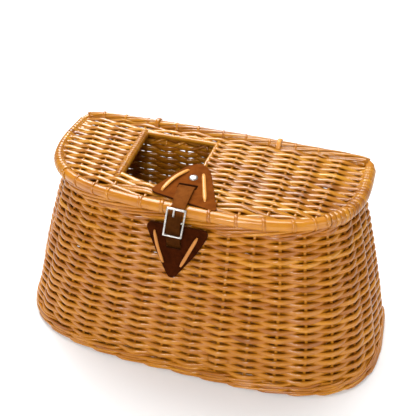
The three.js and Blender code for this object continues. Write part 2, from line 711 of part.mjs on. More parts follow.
function buckleFrame() {
  const side = BUCKLE_WIDTH / 2;
  const outline = (inset, top, bottom, r) => [
    { x: -side + inset, y: bottom, r },
    { x: side - inset, y: bottom, r },
    { x: side - inset, y: top, r },
    { x: -side + inset, y: top, r },
  ];
  const shape = roundedShape(outline(0, TOP_BAR / 2, -span - LOW_BAR / 2, BUCKLE_CORNER));
  const hole = outline(SIDE_BAR, -TOP_BAR / 2, -span + LOW_BAR / 2, BUCKLE_WINDOW_CORNER);
  shape.holes.push(roundedShape(hole));
  const ringPlate = extrude(shape, BUCKLE_THICKNESS, 4).translate(0, 0, -BUCKLE_THICKNESS / 2);
  const length = BUCKLE_WIDTH - SIDE_BAR;
  const bar = new THREE.CylinderGeometry(CENTRE_BAR_RADIUS, CENTRE_BAR_RADIUS, length, 12);
  bar.rotateZ(Math.PI / 2).translate(0, -span * CENTRE_BAR_SHARE, -CENTRE_BAR_DROP);
  return join([ringPlate, bar]);
}

// The prong hangs on the centre bar, passes through the strap and rests on the top bar.
function prong() {
  const inner = CENTRE_BAR_RADIUS + GAP;
  const outer = inner + PRONG_THICKNESS;
  const eye = new THREE.Shape().absarc(0, 0, outer, 0, 2 * Math.PI);
  eye.holes.push(new THREE.Path().absarc(0, 0, inner, 0, 2 * Math.PI, true));
  const rest = CENTRE_BAR_DROP + BUCKLE_THICKNESS / 2 + GAP;
  const reach = span * CENTRE_BAR_SHARE + TOP_BAR / 2;
  const tongue = new THREE.Shape([
    new THREE.Vector2(inner, 0),
    new THREE.Vector2(outer, 0),
    new THREE.Vector2(rest + PRONG_THICKNESS, reach),
    new THREE.Vector2(rest, reach),
  ]);
  const sideView = join([extrude(eye, PRONG_WIDTH, 9), extrude(tongue, PRONG_WIDTH)]);
  sideView.translate(0, 0, -PRONG_WIDTH / 2).rotateY(-Math.PI / 2);
  return sideView.translate(0, -span * CENTRE_BAR_SHARE, -CENTRE_BAR_DROP);
}

place('base_panel', basePanel(), 'willow');
place('foot_band', band(0, FOOT_BAND_HEIGHT), 'willow');
place('basket_wall', cut(wallShell(), hinges.map(loopSlit)), 'willow');
place('rim_band', band(bandBottom, RIM_BAND_HEIGHT), 'willow');

place('lid_rim', rodRing(ring(lid, LID_OVERHANG, lidLevel)), 'rod');
place('lid_panel', lidPanel(), 'willow');
const leftBarX = [cutOut.leftBack + GAP + LEFT_BAR_RADIUS, cutOut.leftFront + GAP + LEFT_BAR_RADIUS];
place('hole_bar_left', holeBar(LEFT_BAR_RADIUS, ...leftBarX), 'willow');
const rightBarX = HOLE_RIGHT + RIGHT_BAR_RADIUS;
place('hole_bar_right', holeBar(RIGHT_BAR_RADIUS, rightBarX, rightBarX), 'rod');
place('hinge_loop_left', hingeLoop(hinges[0]), 'cane');
place('hinge_loop_right', hingeLoop(hinges[1]), 'cane');

place('lid_patch', lidPatch(), 'leather');
place('patch_rivet', rivet(), 'steel');
lidStitches.forEach((ends, i) => {
  place(`cane_stitch_lid_${i + 1}`, stitch(ends), 'cane').position.z = lidPatchLow;
});
const frontFrame = planeFrame(0, patchTop, patchDown.clone().negate(), patchOut);
place('front_patch', frontPatch(), 'leather', frontFrame);
frontStitches.forEach((ends, i) => {
  place(`cane_stitch_front_${i + 1}`, stitch(ends), 'cane', frontFrame);
});

place('closing_strap', closingStrap(), 'leather');
place('buckle_strap', buckleStrap(), 'leather');
const buckleUp = buckleDown.clone().negate();
const buckle = planeFrame(CLASP_X, topBarAt, buckleUp, buckleOut, -radians(BUCKLE_LEAN));
place('buckle_frame', buckleFrame(), 'steel', buckle);
place('buckle_prong', prong(), 'steel', buckle);

export default group;
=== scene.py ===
# %% [markdown]
# # A wicker fishing creel
# A creel is the basket in which an angler carries the catch. This one is woven from split willow and
# varnished. Its lid has a hole for slipping a fish in, and a leather strap with a buckle keeps it shut.
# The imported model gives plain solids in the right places. This lesson dresses each of them: the walls
# and the lid become real strands that pass over and under each other, and the leather, cane and steel
# pieces get their edges, their thickness and their finish.

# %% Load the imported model
import math

import bpy
import numpy as np
from mathutils import Matrix, Vector


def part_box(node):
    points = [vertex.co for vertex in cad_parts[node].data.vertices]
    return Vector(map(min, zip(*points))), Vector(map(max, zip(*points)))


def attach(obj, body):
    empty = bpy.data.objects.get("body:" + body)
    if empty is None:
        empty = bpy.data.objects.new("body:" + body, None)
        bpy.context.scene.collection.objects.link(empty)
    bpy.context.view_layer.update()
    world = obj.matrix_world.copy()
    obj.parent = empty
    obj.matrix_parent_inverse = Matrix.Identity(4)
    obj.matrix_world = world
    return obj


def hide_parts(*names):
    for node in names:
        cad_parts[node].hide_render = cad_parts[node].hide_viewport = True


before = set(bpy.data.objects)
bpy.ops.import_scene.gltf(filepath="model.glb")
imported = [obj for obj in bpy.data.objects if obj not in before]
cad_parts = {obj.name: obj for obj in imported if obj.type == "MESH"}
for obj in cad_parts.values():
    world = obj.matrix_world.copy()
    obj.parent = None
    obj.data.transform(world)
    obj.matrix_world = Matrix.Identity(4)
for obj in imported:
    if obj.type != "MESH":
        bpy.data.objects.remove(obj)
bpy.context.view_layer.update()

bpy.ops.object.select_all(action="DESELECT")
MM = 0.001
rng = np.random.default_rng(16)

# %% [markdown]
# ## Camera
# The camera stands where a fit to the photograph puts it: a little to the right of the basket, looking
# down on it at 38 degrees. A camera looks along its own -Z, so its axes can be built from two angles.

# %% Camera
AZIMUTH, ELEVATION = math.radians(16.6), math.radians(38.33)
EYE = Vector((137.5, -423.2, 504.0)) * MM
forward = Vector((
    -math.sin(AZIMUTH) * math.cos(ELEVATION),
    math.cos(AZIMUTH) * math.cos(ELEVATION),
    -math.sin(ELEVATION),
))
right = Vector((math.cos(AZIMUTH), math.sin(AZIMUTH), 0))
camera_axes = Matrix((right, right.cross(forward), -forward)).transposed()
bpy.ops.object.camera_add()
camera = bpy.context.object
camera.matrix_world = Matrix.Translation(EYE) @ camera_axes.to_4x4()
camera.data.lens = 53.24
camera.data.sensor_width = 36
bpy.context.scene.camera = camera
print("camera at", [round(v, 3) for v in camera.location])

# %% [markdown]
# ## Shape of the basket
# Every strand lies on the basket's walls, so the lesson first needs to know where the walls are. The
# outline at one height is two half superellipses, a flat one for the back and a round one for the
# front. Outlines at many heights give a table, and any place on the wall is read from it by two
# numbers: the share of the way round, and the height.

# %% Outline of the basket, in millimetres
BASE_WIDTH, RIM_WIDTH = 381, 280
BASE_DEPTH, RIM_DEPTH = 147, 117.5
BASE_BACK, RIM_BACK = 25, 21  # from the widest line to the back
BASE_POWER, RIM_POWER = 3.4, 2.65  # of the front: 2 is an ellipse, more is squarer
BACK_POWER = 6.0
RIM_HEIGHT = 175.7
RIM_CROWN = 4.6  # how far the rim's middle stands above its ends
BACK_DISH = 4.3  # how far the middle of the back is drawn in
WALL = 8
WALL_BULGE = 2
LID_OVERHANG = 4
FINE = 1440  # steps round an outline
UP = np.array([0.0, 0.0, 1.0])


def blend(start, end, share):
    return start + (end - start) * share


def basket_section(height):
    share = height / RIM_HEIGHT
    bulge = 4 * WALL_BULGE * share * (1 - share)
    back = blend(BASE_BACK, RIM_BACK, share)
    return {
        "half": blend(BASE_WIDTH, RIM_WIDTH, share) / 2 + bulge,
        "front": blend(BASE_DEPTH, RIM_DEPTH, share) - back + bulge,
        "back": back,
        "widest": BASE_DEPTH / 2 - back,
        "power": blend(BASE_POWER, RIM_POWER, share),
        "back_power": BACK_POWER,
        "crown": RIM_CROWN * share,
    }


def outline(section, outset=0.0):
    """Equal steps round one level, from the middle of the front towards +X."""
    turn = np.linspace(-0.5 * np.pi, 1.5 * np.pi, 2 * FINE + 1)
    front = np.sin(turn) < 0
    half = section["half"] + outset
    depth = np.where(front, section["front"], section["back"]) + outset
    power = 2 / np.where(front, section["power"], section["back_power"])
    x = half * np.sign(np.cos(turn)) * np.abs(np.cos(turn)) ** power
    reach = np.sign(np.sin(turn)) * np.abs(np.sin(turn)) ** power
    dish = BACK_DISH * np.maximum(reach, 0) * (1 - (x / half) ** 2)
    y = section["widest"] + depth * reach - dish
    length = np.concatenate([[0], np.cumsum(np.hypot(np.diff(x), np.diff(y)))])
    even = np.linspace(0, length[-1], FINE + 1)
    return np.interp(even, length, x), np.interp(even, length, y), length[-1]


def reach_at(x, y, chosen, depth):
    """How far the chosen places of an outline reach to the right, at a depth."""
    order = np.argsort(y[chosen])
    return np.interp(depth, y[chosen][order], x[chosen][order])


def crown(section, x):
    return section["crown"] * np.maximum(1 - (x / (section["half"] + LID_OVERHANG)) ** 2, 0)


LEVEL_STEP = 4.0
LEVELS = np.arange(-8, 190, LEVEL_STEP)
WALL_TABLE = np.array([
    np.stack([x, y, level + crown(basket_section(level), x)], 1)
    for level in LEVELS
    for x, y, _ in [outline(basket_section(level))]
])


def on_wall(share, height):
    """Places on the basket's outer face."""
    share, height = np.broadcast_arrays(share, height)
    across = (share % 1.0) * FINE
    up = np.clip((height - LEVELS[0]) / LEVEL_STEP, 0, len(LEVELS) - 1.001)
    i, j = across.astype(int), up.astype(int)
    a, b = (across - i)[..., None], (up - j)[..., None]
    low = blend(WALL_TABLE[j, i], WALL_TABLE[j, i + 1], a)
    high = blend(WALL_TABLE[j + 1, i], WALL_TABLE[j + 1, i + 1], a)
    return blend(low, high, b)


def unit(vectors):
    return vectors / np.linalg.norm(vectors, axis=-1, keepdims=True)


def around(out, angle):
    """Directions from the middle of a rod, at angles that rise from straight out to straight up."""
    return out * np.cos(angle)[:, None] + UP * np.sin(angle)[:, None]


def wall_out(share, height):
    """Directions straight out of the wall."""
    along = on_wall(share + 0.002, height) - on_wall(share - 0.002, height)
    up = on_wall(share, height + 3) - on_wall(share, height - 3)
    return unit(np.cross(along, up))


print("wall table:", WALL_TABLE.shape)

# %% [markdown]
# ## Finishes
# Willow is peeled, split and varnished: honey coloured, a little different from rod to rod, with fine
# streaks along the grain and a gloss on top; the lid's is a little paler than the wall's. Each strand
# carries its own tone as an attribute, and its UV map runs along it, so the streaks follow every bend.
# Leather is mottled, with a fine grain; the front patch's leather is painted darker as painted shade,
# and the strap has painted shade from the buckle down. Cane is paler than the willow, and the buckle is
# bright nickel with small scratches.

# %% A helper for materials


class Paint:
    """A material whose nodes are added one by one. An underscore stands for a space in a name."""

    def __init__(self, name, **values):
        self.material = bpy.data.materials.new(name)
        self.material.use_nodes = True
        self.tree = self.material.node_tree
        self.shade(**values)

    def put(self, socket, value):
        """A plain value is set, and another node's output is joined."""
        if isinstance(value, bpy.types.NodeSocket):
            self.tree.links.new(value, socket)
        else:
            socket.default_value = value

    def shade(self, **values):
        for name, value in values.items():
            self.put(self.tree.nodes["Principled BSDF"].inputs[name.replace("_", " ")], value)

    def add(self, kind, **values):
        node = self.tree.nodes.new("ShaderNode" + kind)
        for name, value in values.items():
            self.put(node.inputs[name.replace("_", " ")], value)
        return node

    def place(self):
        return self.add("TexCoord").outputs["Object"]

    def noise(self, vector, scale, detail=3.0, roughness=0.5):
        node = self.add("TexNoise", Vector=vector, Scale=scale, Detail=detail, Roughness=roughness)
        return node.outputs["Fac"]

    def ramp(self, factor, stops):
        node = self.add("ValToRGB", Fac=factor)
        bar = node.color_ramp
        while len(bar.elements) < len(stops):
            bar.elements.new(0.5)
        for element, (place, colour) in zip(bar.elements, stops):
            element.position = place
            element.color = (*colour, 1)
        return node.outputs["Color"]

    def math(self, operation, *values):
        node = self.add("Math")
        node.operation = operation
        for socket, value in zip(node.inputs, values):
            self.put(socket, value)
        return node.outputs["Value"]

    def bump(self, height, strength, distance):
        node = self.add("Bump", Height=height, Strength=strength, Distance=distance)
        self.shade(Normal=node.outputs["Normal"])


# %% Willow
STREAKS = (60, 9, 1)  # how often the grain changes along a strand and round it


def willow_finish(name, stops, roughness, coat):
    paint = Paint(name, Roughness=roughness)
    uv = paint.add("UVMap")
    uv.uv_map = "along"
    grain = paint.add("Mapping", Vector=uv.outputs["UV"], Scale=STREAKS)
    streaks = paint.noise(grain.outputs["Vector"], 1.0, 4, 0.6)
    blotches = paint.noise(paint.place(), 90, 2)
    tone = paint.add("Attribute")
    tone.attribute_name = "tone"
    base = paint.math("ADD", tone.outputs["Fac"], paint.math("MULTIPLY", streaks, 0.5))
    total = paint.math("ADD", base, paint.math("MULTIPLY", blotches, 0.35))
    paint.shade(
        Base_Color=paint.ramp(paint.math("SUBTRACT", total, 0.42), stops),
        Specular_IOR_Level=0.12, Coat_Weight=coat, Coat_Roughness=0.11, Coat_IOR=1.6,
    )
    paint.bump(streaks, 0.35, 0.0004)
    return paint.material


HONEY = [
    (0.0, (0.19, 0.048, 0.002)),
    (0.35, (0.33, 0.102, 0.003)),
    (0.65, (0.46, 0.170, 0.007)),
    (1.0, (0.57, 0.250, 0.014)),
]
willow = willow_finish("varnished_willow", HONEY, 0.42, 0.55)
YELLOWER = 1.07
LID_HONEY = [(place, (red, YELLOWER * green, blue)) for place, (red, green, blue) in HONEY]
lid_willow = willow_finish("varnished_lid_willow", LID_HONEY, 0.42, 0.75)
PALE_CANE = [(0.0, (0.42, 0.15, 0.025)), (0.5, (0.62, 0.27, 0.052)), (1.0, (0.80, 0.44, 0.12))]
cane = willow_finish("pale_cane", PALE_CANE, 0.45, 0.25)

# %% Leather


def leather_finish(name, dark, light, roughness, painted_shade_heights=None):
    """The last argument gives two heights, in metres: below the first the leather is darkened by painted
    shade, which fades out by the second.
    """
    paint = Paint(name, Specular_IOR_Level=0.006)
    place = paint.place()
    mottle = paint.noise(place, 120, 4, 0.6)
    colour = paint.ramp(mottle, [(0.3, dark), (0.75, light)])
    # Painted shade: below the given heights the leather's colour is multiplied down to 0.3.
    if painted_shade_heights:
        height = paint.add("SeparateXYZ", Vector=place).outputs["Z"]
        fade = paint.add("MapRange", Value=height, From_Min=painted_shade_heights[0], From_Max=painted_shade_heights[1], To_Min=0.30)
        mix = paint.add("Mix", Factor=1)
        mix.data_type, mix.blend_type = "RGBA", "MULTIPLY"
        paint.put(mix.inputs["A"], colour)
        paint.put(mix.inputs["B"], fade.outputs["Result"])
        colour = mix.outputs["Result"]
    smooth, rough = (roughness - 0.1,) * 3, (roughness + 0.12,) * 3
    paint.shade(Base_Color=colour, Roughness=paint.ramp(mottle, [(0.2, smooth), (0.8, rough)]))
    grain = paint.add("TexVoronoi", Vector=place, Scale=900)
    paint.bump(grain.outputs["Distance"], 0.4, 0.0003)
    return paint.material


lid_leather = leather_finish("lid_patch_leather", (0.115, 0.026, 0.003), (0.205, 0.054, 0.007), 0.6)
# The front patch's leather is a much darker copy of the lid patch's: painted shade, as the front faces
# away from the light.
shaded_front_leather = leather_finish(
    "front_patch_leather", (0.018, 0.0030, 0.0006), (0.048, 0.0085, 0.0014), 0.6
)
# The strap's last argument paints shade on it, darker from the buckle down.
strap_leather = leather_finish(
    "strap_leather", (0.11, 0.029, 0.004), (0.20, 0.060, 0.010), 0.55, (0.186, 0.1932)
)
cut_edge = leather_finish("cut_leather_edge", (0.030, 0.009, 0.004), (0.075, 0.022, 0.008), 0.6)

# %% Nickel
nickel_paint = Paint("bright_nickel", Metallic=1.0)
scuffs = nickel_paint.noise(nickel_paint.place(), 700, 3)
nickel_paint.shade(
    Base_Color=nickel_paint.ramp(scuffs, [(0.3, (0.32, 0.30, 0.275)), (0.7, (0.56, 0.54, 0.51))]),
    Roughness=nickel_paint.ramp(scuffs, [(0.3, (0.32,) * 3), (0.8, (0.48,) * 3)]),
)
nickel = nickel_paint.material
print("finishes:", [m.name for m in bpy.data.materials])

# %% [markdown]
# ## Strands
# A basket has a few dozen rods, and each bends hundreds of times, so they are drawn by code: a path
# through the right places, and a rounded section that is carried along it. A curve with a bevel would
# do the same, but a split rod is wider than it is thick and must keep its flat side to the wall, so
# the section here is turned by a direction that is given at every step. A bundle gathers the strands of
# one piece and makes them a single mesh with its UV map and its tones.

# %% Bundle of strands
SECTION_ROUNDNESS = 0.8  # 1 is round, less has flatter sides


def drift(count, step, size):
    """Slow random change along a strand."""
    knots = rng.normal(0, 1, max(2, int(count / step) + 2))
    return size * np.interp(np.arange(count) / step, np.arange(len(knots)), knots)


class Bundle:
    def __init__(self):
        self.points, self.faces, self.along, self.tones = [], [], [], []
        self.used = 0

    def lay(self, path, out, tall, thick, tone, closed=False, sides=8):
        """One strand: its path, the side it faces, and its section."""
        path = np.asarray(path, float)
        count = len(path)
        out = np.broadcast_to(out, path.shape)
        if closed:
            tangent = np.roll(path, -1, 0) - np.roll(path, 1, 0)
        else:
            tangent = np.gradient(path, axis=0)
        tangent = unit(tangent)
        flank = unit(np.cross(tangent, out))
        face = np.cross(flank, tangent)
        angle = (np.arange(sides) + 0.5) * 2 * np.pi / sides
        across = np.sign(np.cos(angle)) * np.abs(np.cos(angle)) ** SECTION_ROUNDNESS
        upward = np.sign(np.sin(angle)) * np.abs(np.sin(angle)) ** SECTION_ROUNDNESS
        across, upward = across / across.max(), upward / upward.max()
        tall = np.broadcast_to(tall, count)[:, None, None]
        thick = np.broadcast_to(thick, count)[:, None, None]
        ring = path[:, None, :]
        ring = ring + face[:, None, :] * (across[None, :, None] * thick / 2)
        ring = ring + flank[:, None, :] * (upward[None, :, None] * tall / 2)
        self.points.append(ring.reshape(-1, 3))
        self.tones.append(np.repeat(np.broadcast_to(tone, count), sides))
        steps = count if closed else count - 1
        i = np.repeat(np.arange(steps), sides)
        j = np.tile(np.arange(sides), steps)
        ahead = (i + 1) % count
        aside = (j + 1) % sides
        quads = np.stack([i * sides + j, i * sides + aside, ahead * sides + aside, ahead * sides + j], 1)
        self.faces.extend((quads + self.used).tolist())
        gaps = np.linalg.norm(np.diff(path, axis=0, append=path[:1]), axis=1) * MM
        length = np.concatenate([[0], np.cumsum(gaps)]) + rng.uniform(0, 5)
        u0, u1 = length[i], length[i + 1]
        v0, v1 = j / sides, (j + 1) / sides
        self.along.append(np.stack([u0, v0, u0, v1, u1, v1, u1, v0], 1).reshape(-1, 2))
        if not closed:
            ends = [np.arange(sides)[::-1], (count - 1) * sides + np.arange(sides)]
            for end, at in zip(ends, (length[0], length[count - 1])):
                self.faces.append((end + self.used).tolist())
                self.along.append(np.stack([np.full(sides, at), np.zeros(sides)], 1))
        self.used += count * sides

    def make(self, name, finish, stands_for=(), slot="willow"):
        mesh = bpy.data.meshes.new(name)
        mesh.from_pydata((np.concatenate(self.points) * MM).tolist(), [], self.faces)
        mesh.uv_layers.new(name="along")
        mesh.uv_layers["along"].data.foreach_set("uv", np.concatenate(self.along).ravel())
        tones = mesh.attributes.new("tone", "FLOAT", "POINT")
        tones.data.foreach_set("value", np.concatenate(self.tones))
        mesh.polygons.foreach_set("use_smooth", np.ones(len(mesh.polygons), bool))
        mesh.materials.append(finish)
        piece = bpy.data.objects.new(name, mesh)
        bpy.context.scene.collection.objects.link(piece)
        settle(piece, stands_for)


def settle(piece, stands_for=()):
    """A finished piece rides on the basket and stands for the plain solids that it covers."""
    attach(piece, "root")
    if stands_for:
        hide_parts(*stands_for)
    triangles = sum(len(p.vertices) - 2 for p in piece.data.polygons)
    print(f"{piece.name}: {triangles} triangles")


def random_tone(spread=0.11):
    return float(np.clip(rng.normal(0.5, spread), 0.1, 0.9))


# %% [markdown]
# ## Stakes and wall
# The stakes are the upright rods. The weaver is one long rod that goes round and round, in front of one
# stake and behind the next. Because the number of stakes is odd, each round passes them the other way
# from the round below. Between two stakes the rod runs almost straight and it bends at the stake, so
# its distance from the middle of the wall is a triangle wave with soft corners. Where it lies inside,
# it is pressed wide, which closes the wall. The rows are closer together near the rim, where thinner
# rods are used.

# %% Stakes
STAKES = 33
STAKE_WIDTH = 2.9
STAKE_START = 0.0156  # share of the way round of the first stake, at the lean level
STAKE_LEAN = 0.000117  # share of the way round per millimetre of height
LEAN_LEVEL = 59.8


def stake_share(index, height):
    return STAKE_START + STAKE_LEAN * (height - LEAN_LEVEL) + index / STAKES


stakes = Bundle()
for index in range(STAKES):
    height = np.linspace(2, RIM_HEIGHT - 3, 30)
    share = stake_share(index, height) + drift(30, 10, 0.0006)
    out = wall_out(share, height)
    width = STAKE_WIDTH * rng.uniform(0.92, 1.1)
    middle = on_wall(share, height) - out * WALL / 2
    stakes.lay(middle, out, width, width, random_tone(), sides=7)
stakes.make("wall_stakes", willow)

# %% Weavers
ROWS = 38
WALL_LOW, WALL_HIGH = 13.6, 165.2
LOW_PITCH, HIGH_PITCH = 4.5, 3.5
STEPS = 7  # places from one stake to the next
WAVE = 2.9  # how far a weaver swings to either side of the wall's middle
WEAVER = 2.9  # thickness
ROW_SHIFT = 0.3  # rows by which the first turn starts higher
OVERLAP = 0.3  # of two weavers that meet behind a stake
SHORTEST, LONGEST = 14, 26  # half of the stakes that one weaver passes


def soft_triangle(phase):
    """A triangle wave with soft corners: 1 at even phases and -1 at odd ones."""
    sharp = 0.94
    return np.arcsin(sharp * np.cos(np.pi * phase)) / math.asin(sharp)


row_edges = np.concatenate([[0], np.cumsum(np.linspace(LOW_PITCH, HIGH_PITCH, ROWS))])
row_edges = WALL_LOW + row_edges * (WALL_HIGH - WALL_LOW) / row_edges[-1]


def row_height(row):
    """Height of a row; the turns before the first and after the last lie behind the wales."""
    inside = np.interp(row, np.arange(ROWS + 1), row_edges)
    return inside + LOW_PITCH * np.minimum(row, 0) + HIGH_PITCH * np.maximum(row - ROWS, 0)


def weave_wall(bundle):
    start = -STAKES
    last = (ROWS + 1) * STAKES
    while start < last:
        end = min(start + 2 * int(rng.integers(SHORTEST, LONGEST)) + 1, last)
        phase = np.arange((start - OVERLAP) * STEPS, (end + OVERLAP) * STEPS + 1) / STEPS
        count = len(phase)
        height = row_height(phase / STAKES + ROW_SHIFT)
        pitch = np.interp(height, [WALL_LOW, WALL_HIGH], [LOW_PITCH, HIGH_PITCH])
        covered = np.clip(np.maximum(WALL_LOW - height, height - WALL_HIGH) / 2, 0, 1)
        height = height + drift(count, STEPS, 0.36)
        share = stake_share(phase, height)
        swing = soft_triangle(phase)
        wave = swing * WAVE * (1 + drift(count, STEPS, 0.06)) * (1 - 0.6 * covered)
        out = wall_out(share, height)
        path = on_wall(share, height) + out * (wave - WALL / 2)[:, None]
        inside = np.sqrt(np.clip(-swing, 0, 1))
        swell = 1.0 + 0.26 * np.clip(swing, 0, 1) + 0.8 * inside
        tall = pitch * swell * (1 + drift(count, 2 * STEPS, 0.05))
        thick = WEAVER * (1 + drift(count, 3 * STEPS, 0.05))
        tone = random_tone(0.09) + drift(count, STEPS, 0.06)
        bundle.lay(path, out, tall, thick, tone)
        start = end


weavers = Bundle()
weave_wall(weavers)
weavers.make("wall_weave", willow, ["basket_wall"])

# %% [markdown]
# ## Foot and rim
# At the foot and under the lid the maker locks the weave with a wale: three or four rods that take
# turns. Each passes in front of two or three stakes and then behind one, and as it goes it climbs over
# its neighbours, which gives long slanting strokes. One function draws both bands. A thick hoop ends
# the wall under the lid.

# %% Waling
INNER_REACH = 2.9
DIP = 0.8  # stakes over which a rod goes in or comes out


def wale(bundle, level, rods, units, climb, reach, tall, thick):
    """Rods that take turns over so many stakes; the last steps of each lead back to its start."""
    for rod in range(rods):
        phase = np.arange(units * STEPS) / STEPS
        turn = (phase + rod) % rods
        inward = np.clip(np.minimum(turn, rods - turn) / DIP, 0, 1)
        wave = blend(-INNER_REACH, reach, inward * inward * (3 - 2 * inward))
        late = (turn + 0.5) % rods
        rise = np.where(late > 1, (late - 1) / (rods - 1), 1 - late) - 0.5
        height = level + climb * rise + drift(len(phase), STEPS, 0.12)
        height[-STEPS:] = blend(height[-STEPS:], height[0], np.linspace(0, 1, STEPS))
        share = stake_share(phase / units * STAKES, level)
        out = wall_out(share, height)
        path = on_wall(share, height) + out * (wave - WALL / 2)[:, None]
        size = 1 + drift(len(phase), 2 * STEPS, 0.05)
        tone = random_tone(0.1) + drift(len(phase), STEPS, 0.07)
        bundle.lay(path, out, tall * size, thick * size, tone, closed=True)


foot = Bundle()
for level in (5.0, 10.8):
    wale(foot, level, 3, STAKES, 5.6, 3.3, 2.8, 3.0)
foot.make("foot_wale", willow, ["foot_band"])

rim = Bundle()
wale(rim, 169.8, 4, 32, 8.6, 3.8, 2.9, 3.0)
HOOP_LEVEL = 176.5
hoop_share = np.arange(200) / 200
hoop_out = wall_out(hoop_share, HOOP_LEVEL)
hoop = on_wall(hoop_share, HOOP_LEVEL) - hoop_out * WALL / 2
rim.lay(hoop, hoop_out, 4.4, 6.0, 0.5, closed=True)
rim.make("rim_wale", willow, ["rim_band"])

# %% [markdown]
# ## Base
# The base is a flat piece of weaving inside the foot. It is seldom seen, but the basket is looked at
# from below too, so it is woven like the rest: sticks from front to back, and rods across them.

# %% Base weave
BASE_LEVEL, TUCKED = 6, 1.5  # the base reaches so far into the wall
BASE_MIDDLE = 4.3
STICK_GAP = 26.0
ROD_GAP = 4.5
base_x, base_y, _ = outline(basket_section(BASE_LEVEL), -WALL + TUCKED)
base = Bundle()
for stick in range(-6, 7):
    x = stick * STICK_GAP
    inside = np.abs(base_x - x) < 2
    low, high = base_y[inside].min(), base_y[inside].max()
    y = np.linspace(low, high, 12)
    path = np.stack([np.full(12, x), y, np.full(12, BASE_MIDDLE)], 1)
    base.lay(path, UP, 3.2, 2.4, random_tone())
for number, y in enumerate(np.arange(base_y.min() + 4, base_y.max() - 1, ROD_GAP)):
    reach = reach_at(base_x, base_y, base_x > 0, y) - 1
    x = np.arange(-reach, reach, STICK_GAP / 6)
    wave = soft_triangle(x / STICK_GAP + number) * 2.0
    path = np.stack([x, y + drift(len(x), 6, 0.2), BASE_MIDDLE + wave], 1)
    base.lay(path, UP, 4.2, 2.3, random_tone())
base.make("base_weave", willow, ["base_panel"])

# %% [markdown]
# ## Lid
# The lid is woven over ribs that run from back to front inside one bent rod. Along the front the rod is
# bare, with the rib ends bound over it; at the sides the rows turn round it and thin strands wrap it,
# and at the back seven strands wind slowly along it. The rows run across, over one rib and under the
# next. Those beside the hole end at its bars, one straight strand edges its back, and the last rows in
# front bend with the rod. The lid is arched a little, like the rim that it lies on, and it sits a little
# askew, so every piece of it is turned by the same small angle before its mesh is made.

# %% Rod of the lid
LID_LEVEL = 183.0
LID_POWER, LID_BACK_POWER = 2.85, 10.0
LID_SECTION = {**basket_section(RIM_HEIGHT), "power": LID_POWER, "back_power": LID_BACK_POWER}
ROD_X, ROD_Y, ROD_LENGTH = outline(LID_SECTION, LID_OVERHANG)
ROD = np.stack([ROD_X, ROD_Y, LID_LEVEL + crown(LID_SECTION, ROD_X)], 1)
ROD_SHARES = (0, 0.2, 0.3, 0.38, 0.5, 0.6, 0.68, 0.78, 0.84, 1)
ROD_RADII = (4.7, 4.6, 4.5, 3.4, 3.2, 3.2, 2.7, 2.8, 4.3, 4.7)


def rod_radius(share):
    """The rod is thickest at its front and tapers towards the left end."""
    return np.interp(np.asarray(share) % 1.0, ROD_SHARES, ROD_RADII)


def rod_middle(share):
    share = np.asarray(share) % 1.0 * FINE
    return np.stack([np.interp(share, np.arange(FINE + 1), ROD[:, k]) for k in range(3)], -1)


def on_rod(share):
    """Middle of the rod and its outward direction, at shares of the way round."""
    at, ahead = rod_middle(share), rod_middle(np.asarray(share) % 1.0 + 0.002)
    return at, unit(np.cross(unit(ahead - at), UP))


def lid_z(x):
    return LID_LEVEL + crown(LID_SECTION, np.asarray(x, float))


LID_TURN = math.radians(-1.8)
LID_PIVOT = np.array([-35.0, 18.0, 0.0])


class LidBundle(Bundle):
    """Strands of the lid, which sits a little askew with its left end further back."""

    def make(self, *words):
        spin = np.array(Matrix.Rotation(LID_TURN, 3, "Z"))
        self.points = [(points - LID_PIVOT) @ spin.T + LID_PIVOT for points in self.points]
        super().make(*words)


lid_rod = LidBundle()
rod_share = np.arange(240) / 240
at, out = on_rod(rod_share)
rod_width = 2 * rod_radius(rod_share)
lid_rod.lay(at, out, rod_width, rod_width, 0.6 + drift(240, 12, 0.05), closed=True, sides=16)
lid_rod.make("lid_rod", willow, ["lid_rim"])

# %% Wrapping at the lid's ends and back


def wrap(bundle, start, end, pitch, proud, width, thick, turned=0.0, per_turn=14):
    """A strand that winds round the rod from one share of its length to another."""
    turns = abs(end - start) * ROD_LENGTH / pitch
    count = int(turns * per_turn) + 2
    share = np.linspace(start, end, count)
    radius = (rod_radius(share) + proud)[:, None]
    angle = 2 * np.pi * (turned + turns * np.linspace(0, 1, count))
    at, out = on_rod(share)
    radial = around(out, angle)
    size = 1 + drift(count, per_turn, 0.06)
    tone = 0.5 + drift(count, per_turn, 0.12)
    bundle.lay(at + radial * radius, radial, width * size, thick * size, tone)


END_X = 60  # the rod's ends lie further out than this


def nearest_share(chosen, distance):
    return float(np.argmin(np.where(chosen, np.abs(distance), np.inf)) / FINE)


def share_at(x, front):
    """Share of the rod's length where it passes an x, along the front or the back."""
    chosen = (ROD_Y < LID_SECTION["widest"]) if front else (ROD_Y > LID_SECTION["widest"])
    return nearest_share(chosen, ROD_X - x)


def share_at_depth(y, side):
    """Share of the rod's length where it passes a depth, on the left (-1) or right (1) end."""
    return nearest_share((ROD_X * side > END_X) & (ROD_Y < 74), ROD_Y - y)


HOOK_DEPTH = -3.0  # the rows turn round the rod from here to the back
wrapping = LidBundle()
right_front, right_end = share_at(119, True), share_at_depth(HOOK_DEPTH, 1)
left_end, left_front = share_at_depth(HOOK_DEPTH, -1), share_at(-112, True)
wrap(wrapping, right_front, right_end, 4.6, 0.8, 4.4, 2.0)
wrap(wrapping, left_end, left_front, 4.6, 0.7, 4.4, 1.7)
right_back, left_back = share_at(141, False), share_at(-142, False)
BACK_STRANDS = 7
for strand in range(BACK_STRANDS):
    wrap(wrapping, right_back, left_back, 170.0, 0.9, 3.3, 2.1, strand / BACK_STRANDS, 60)
wrapping.make("lid_wrapping", lid_willow)

# %% Ribs
RIB_WIDTH = 2.6
RIB_DEPTHS = (70, 30, 0, -40)
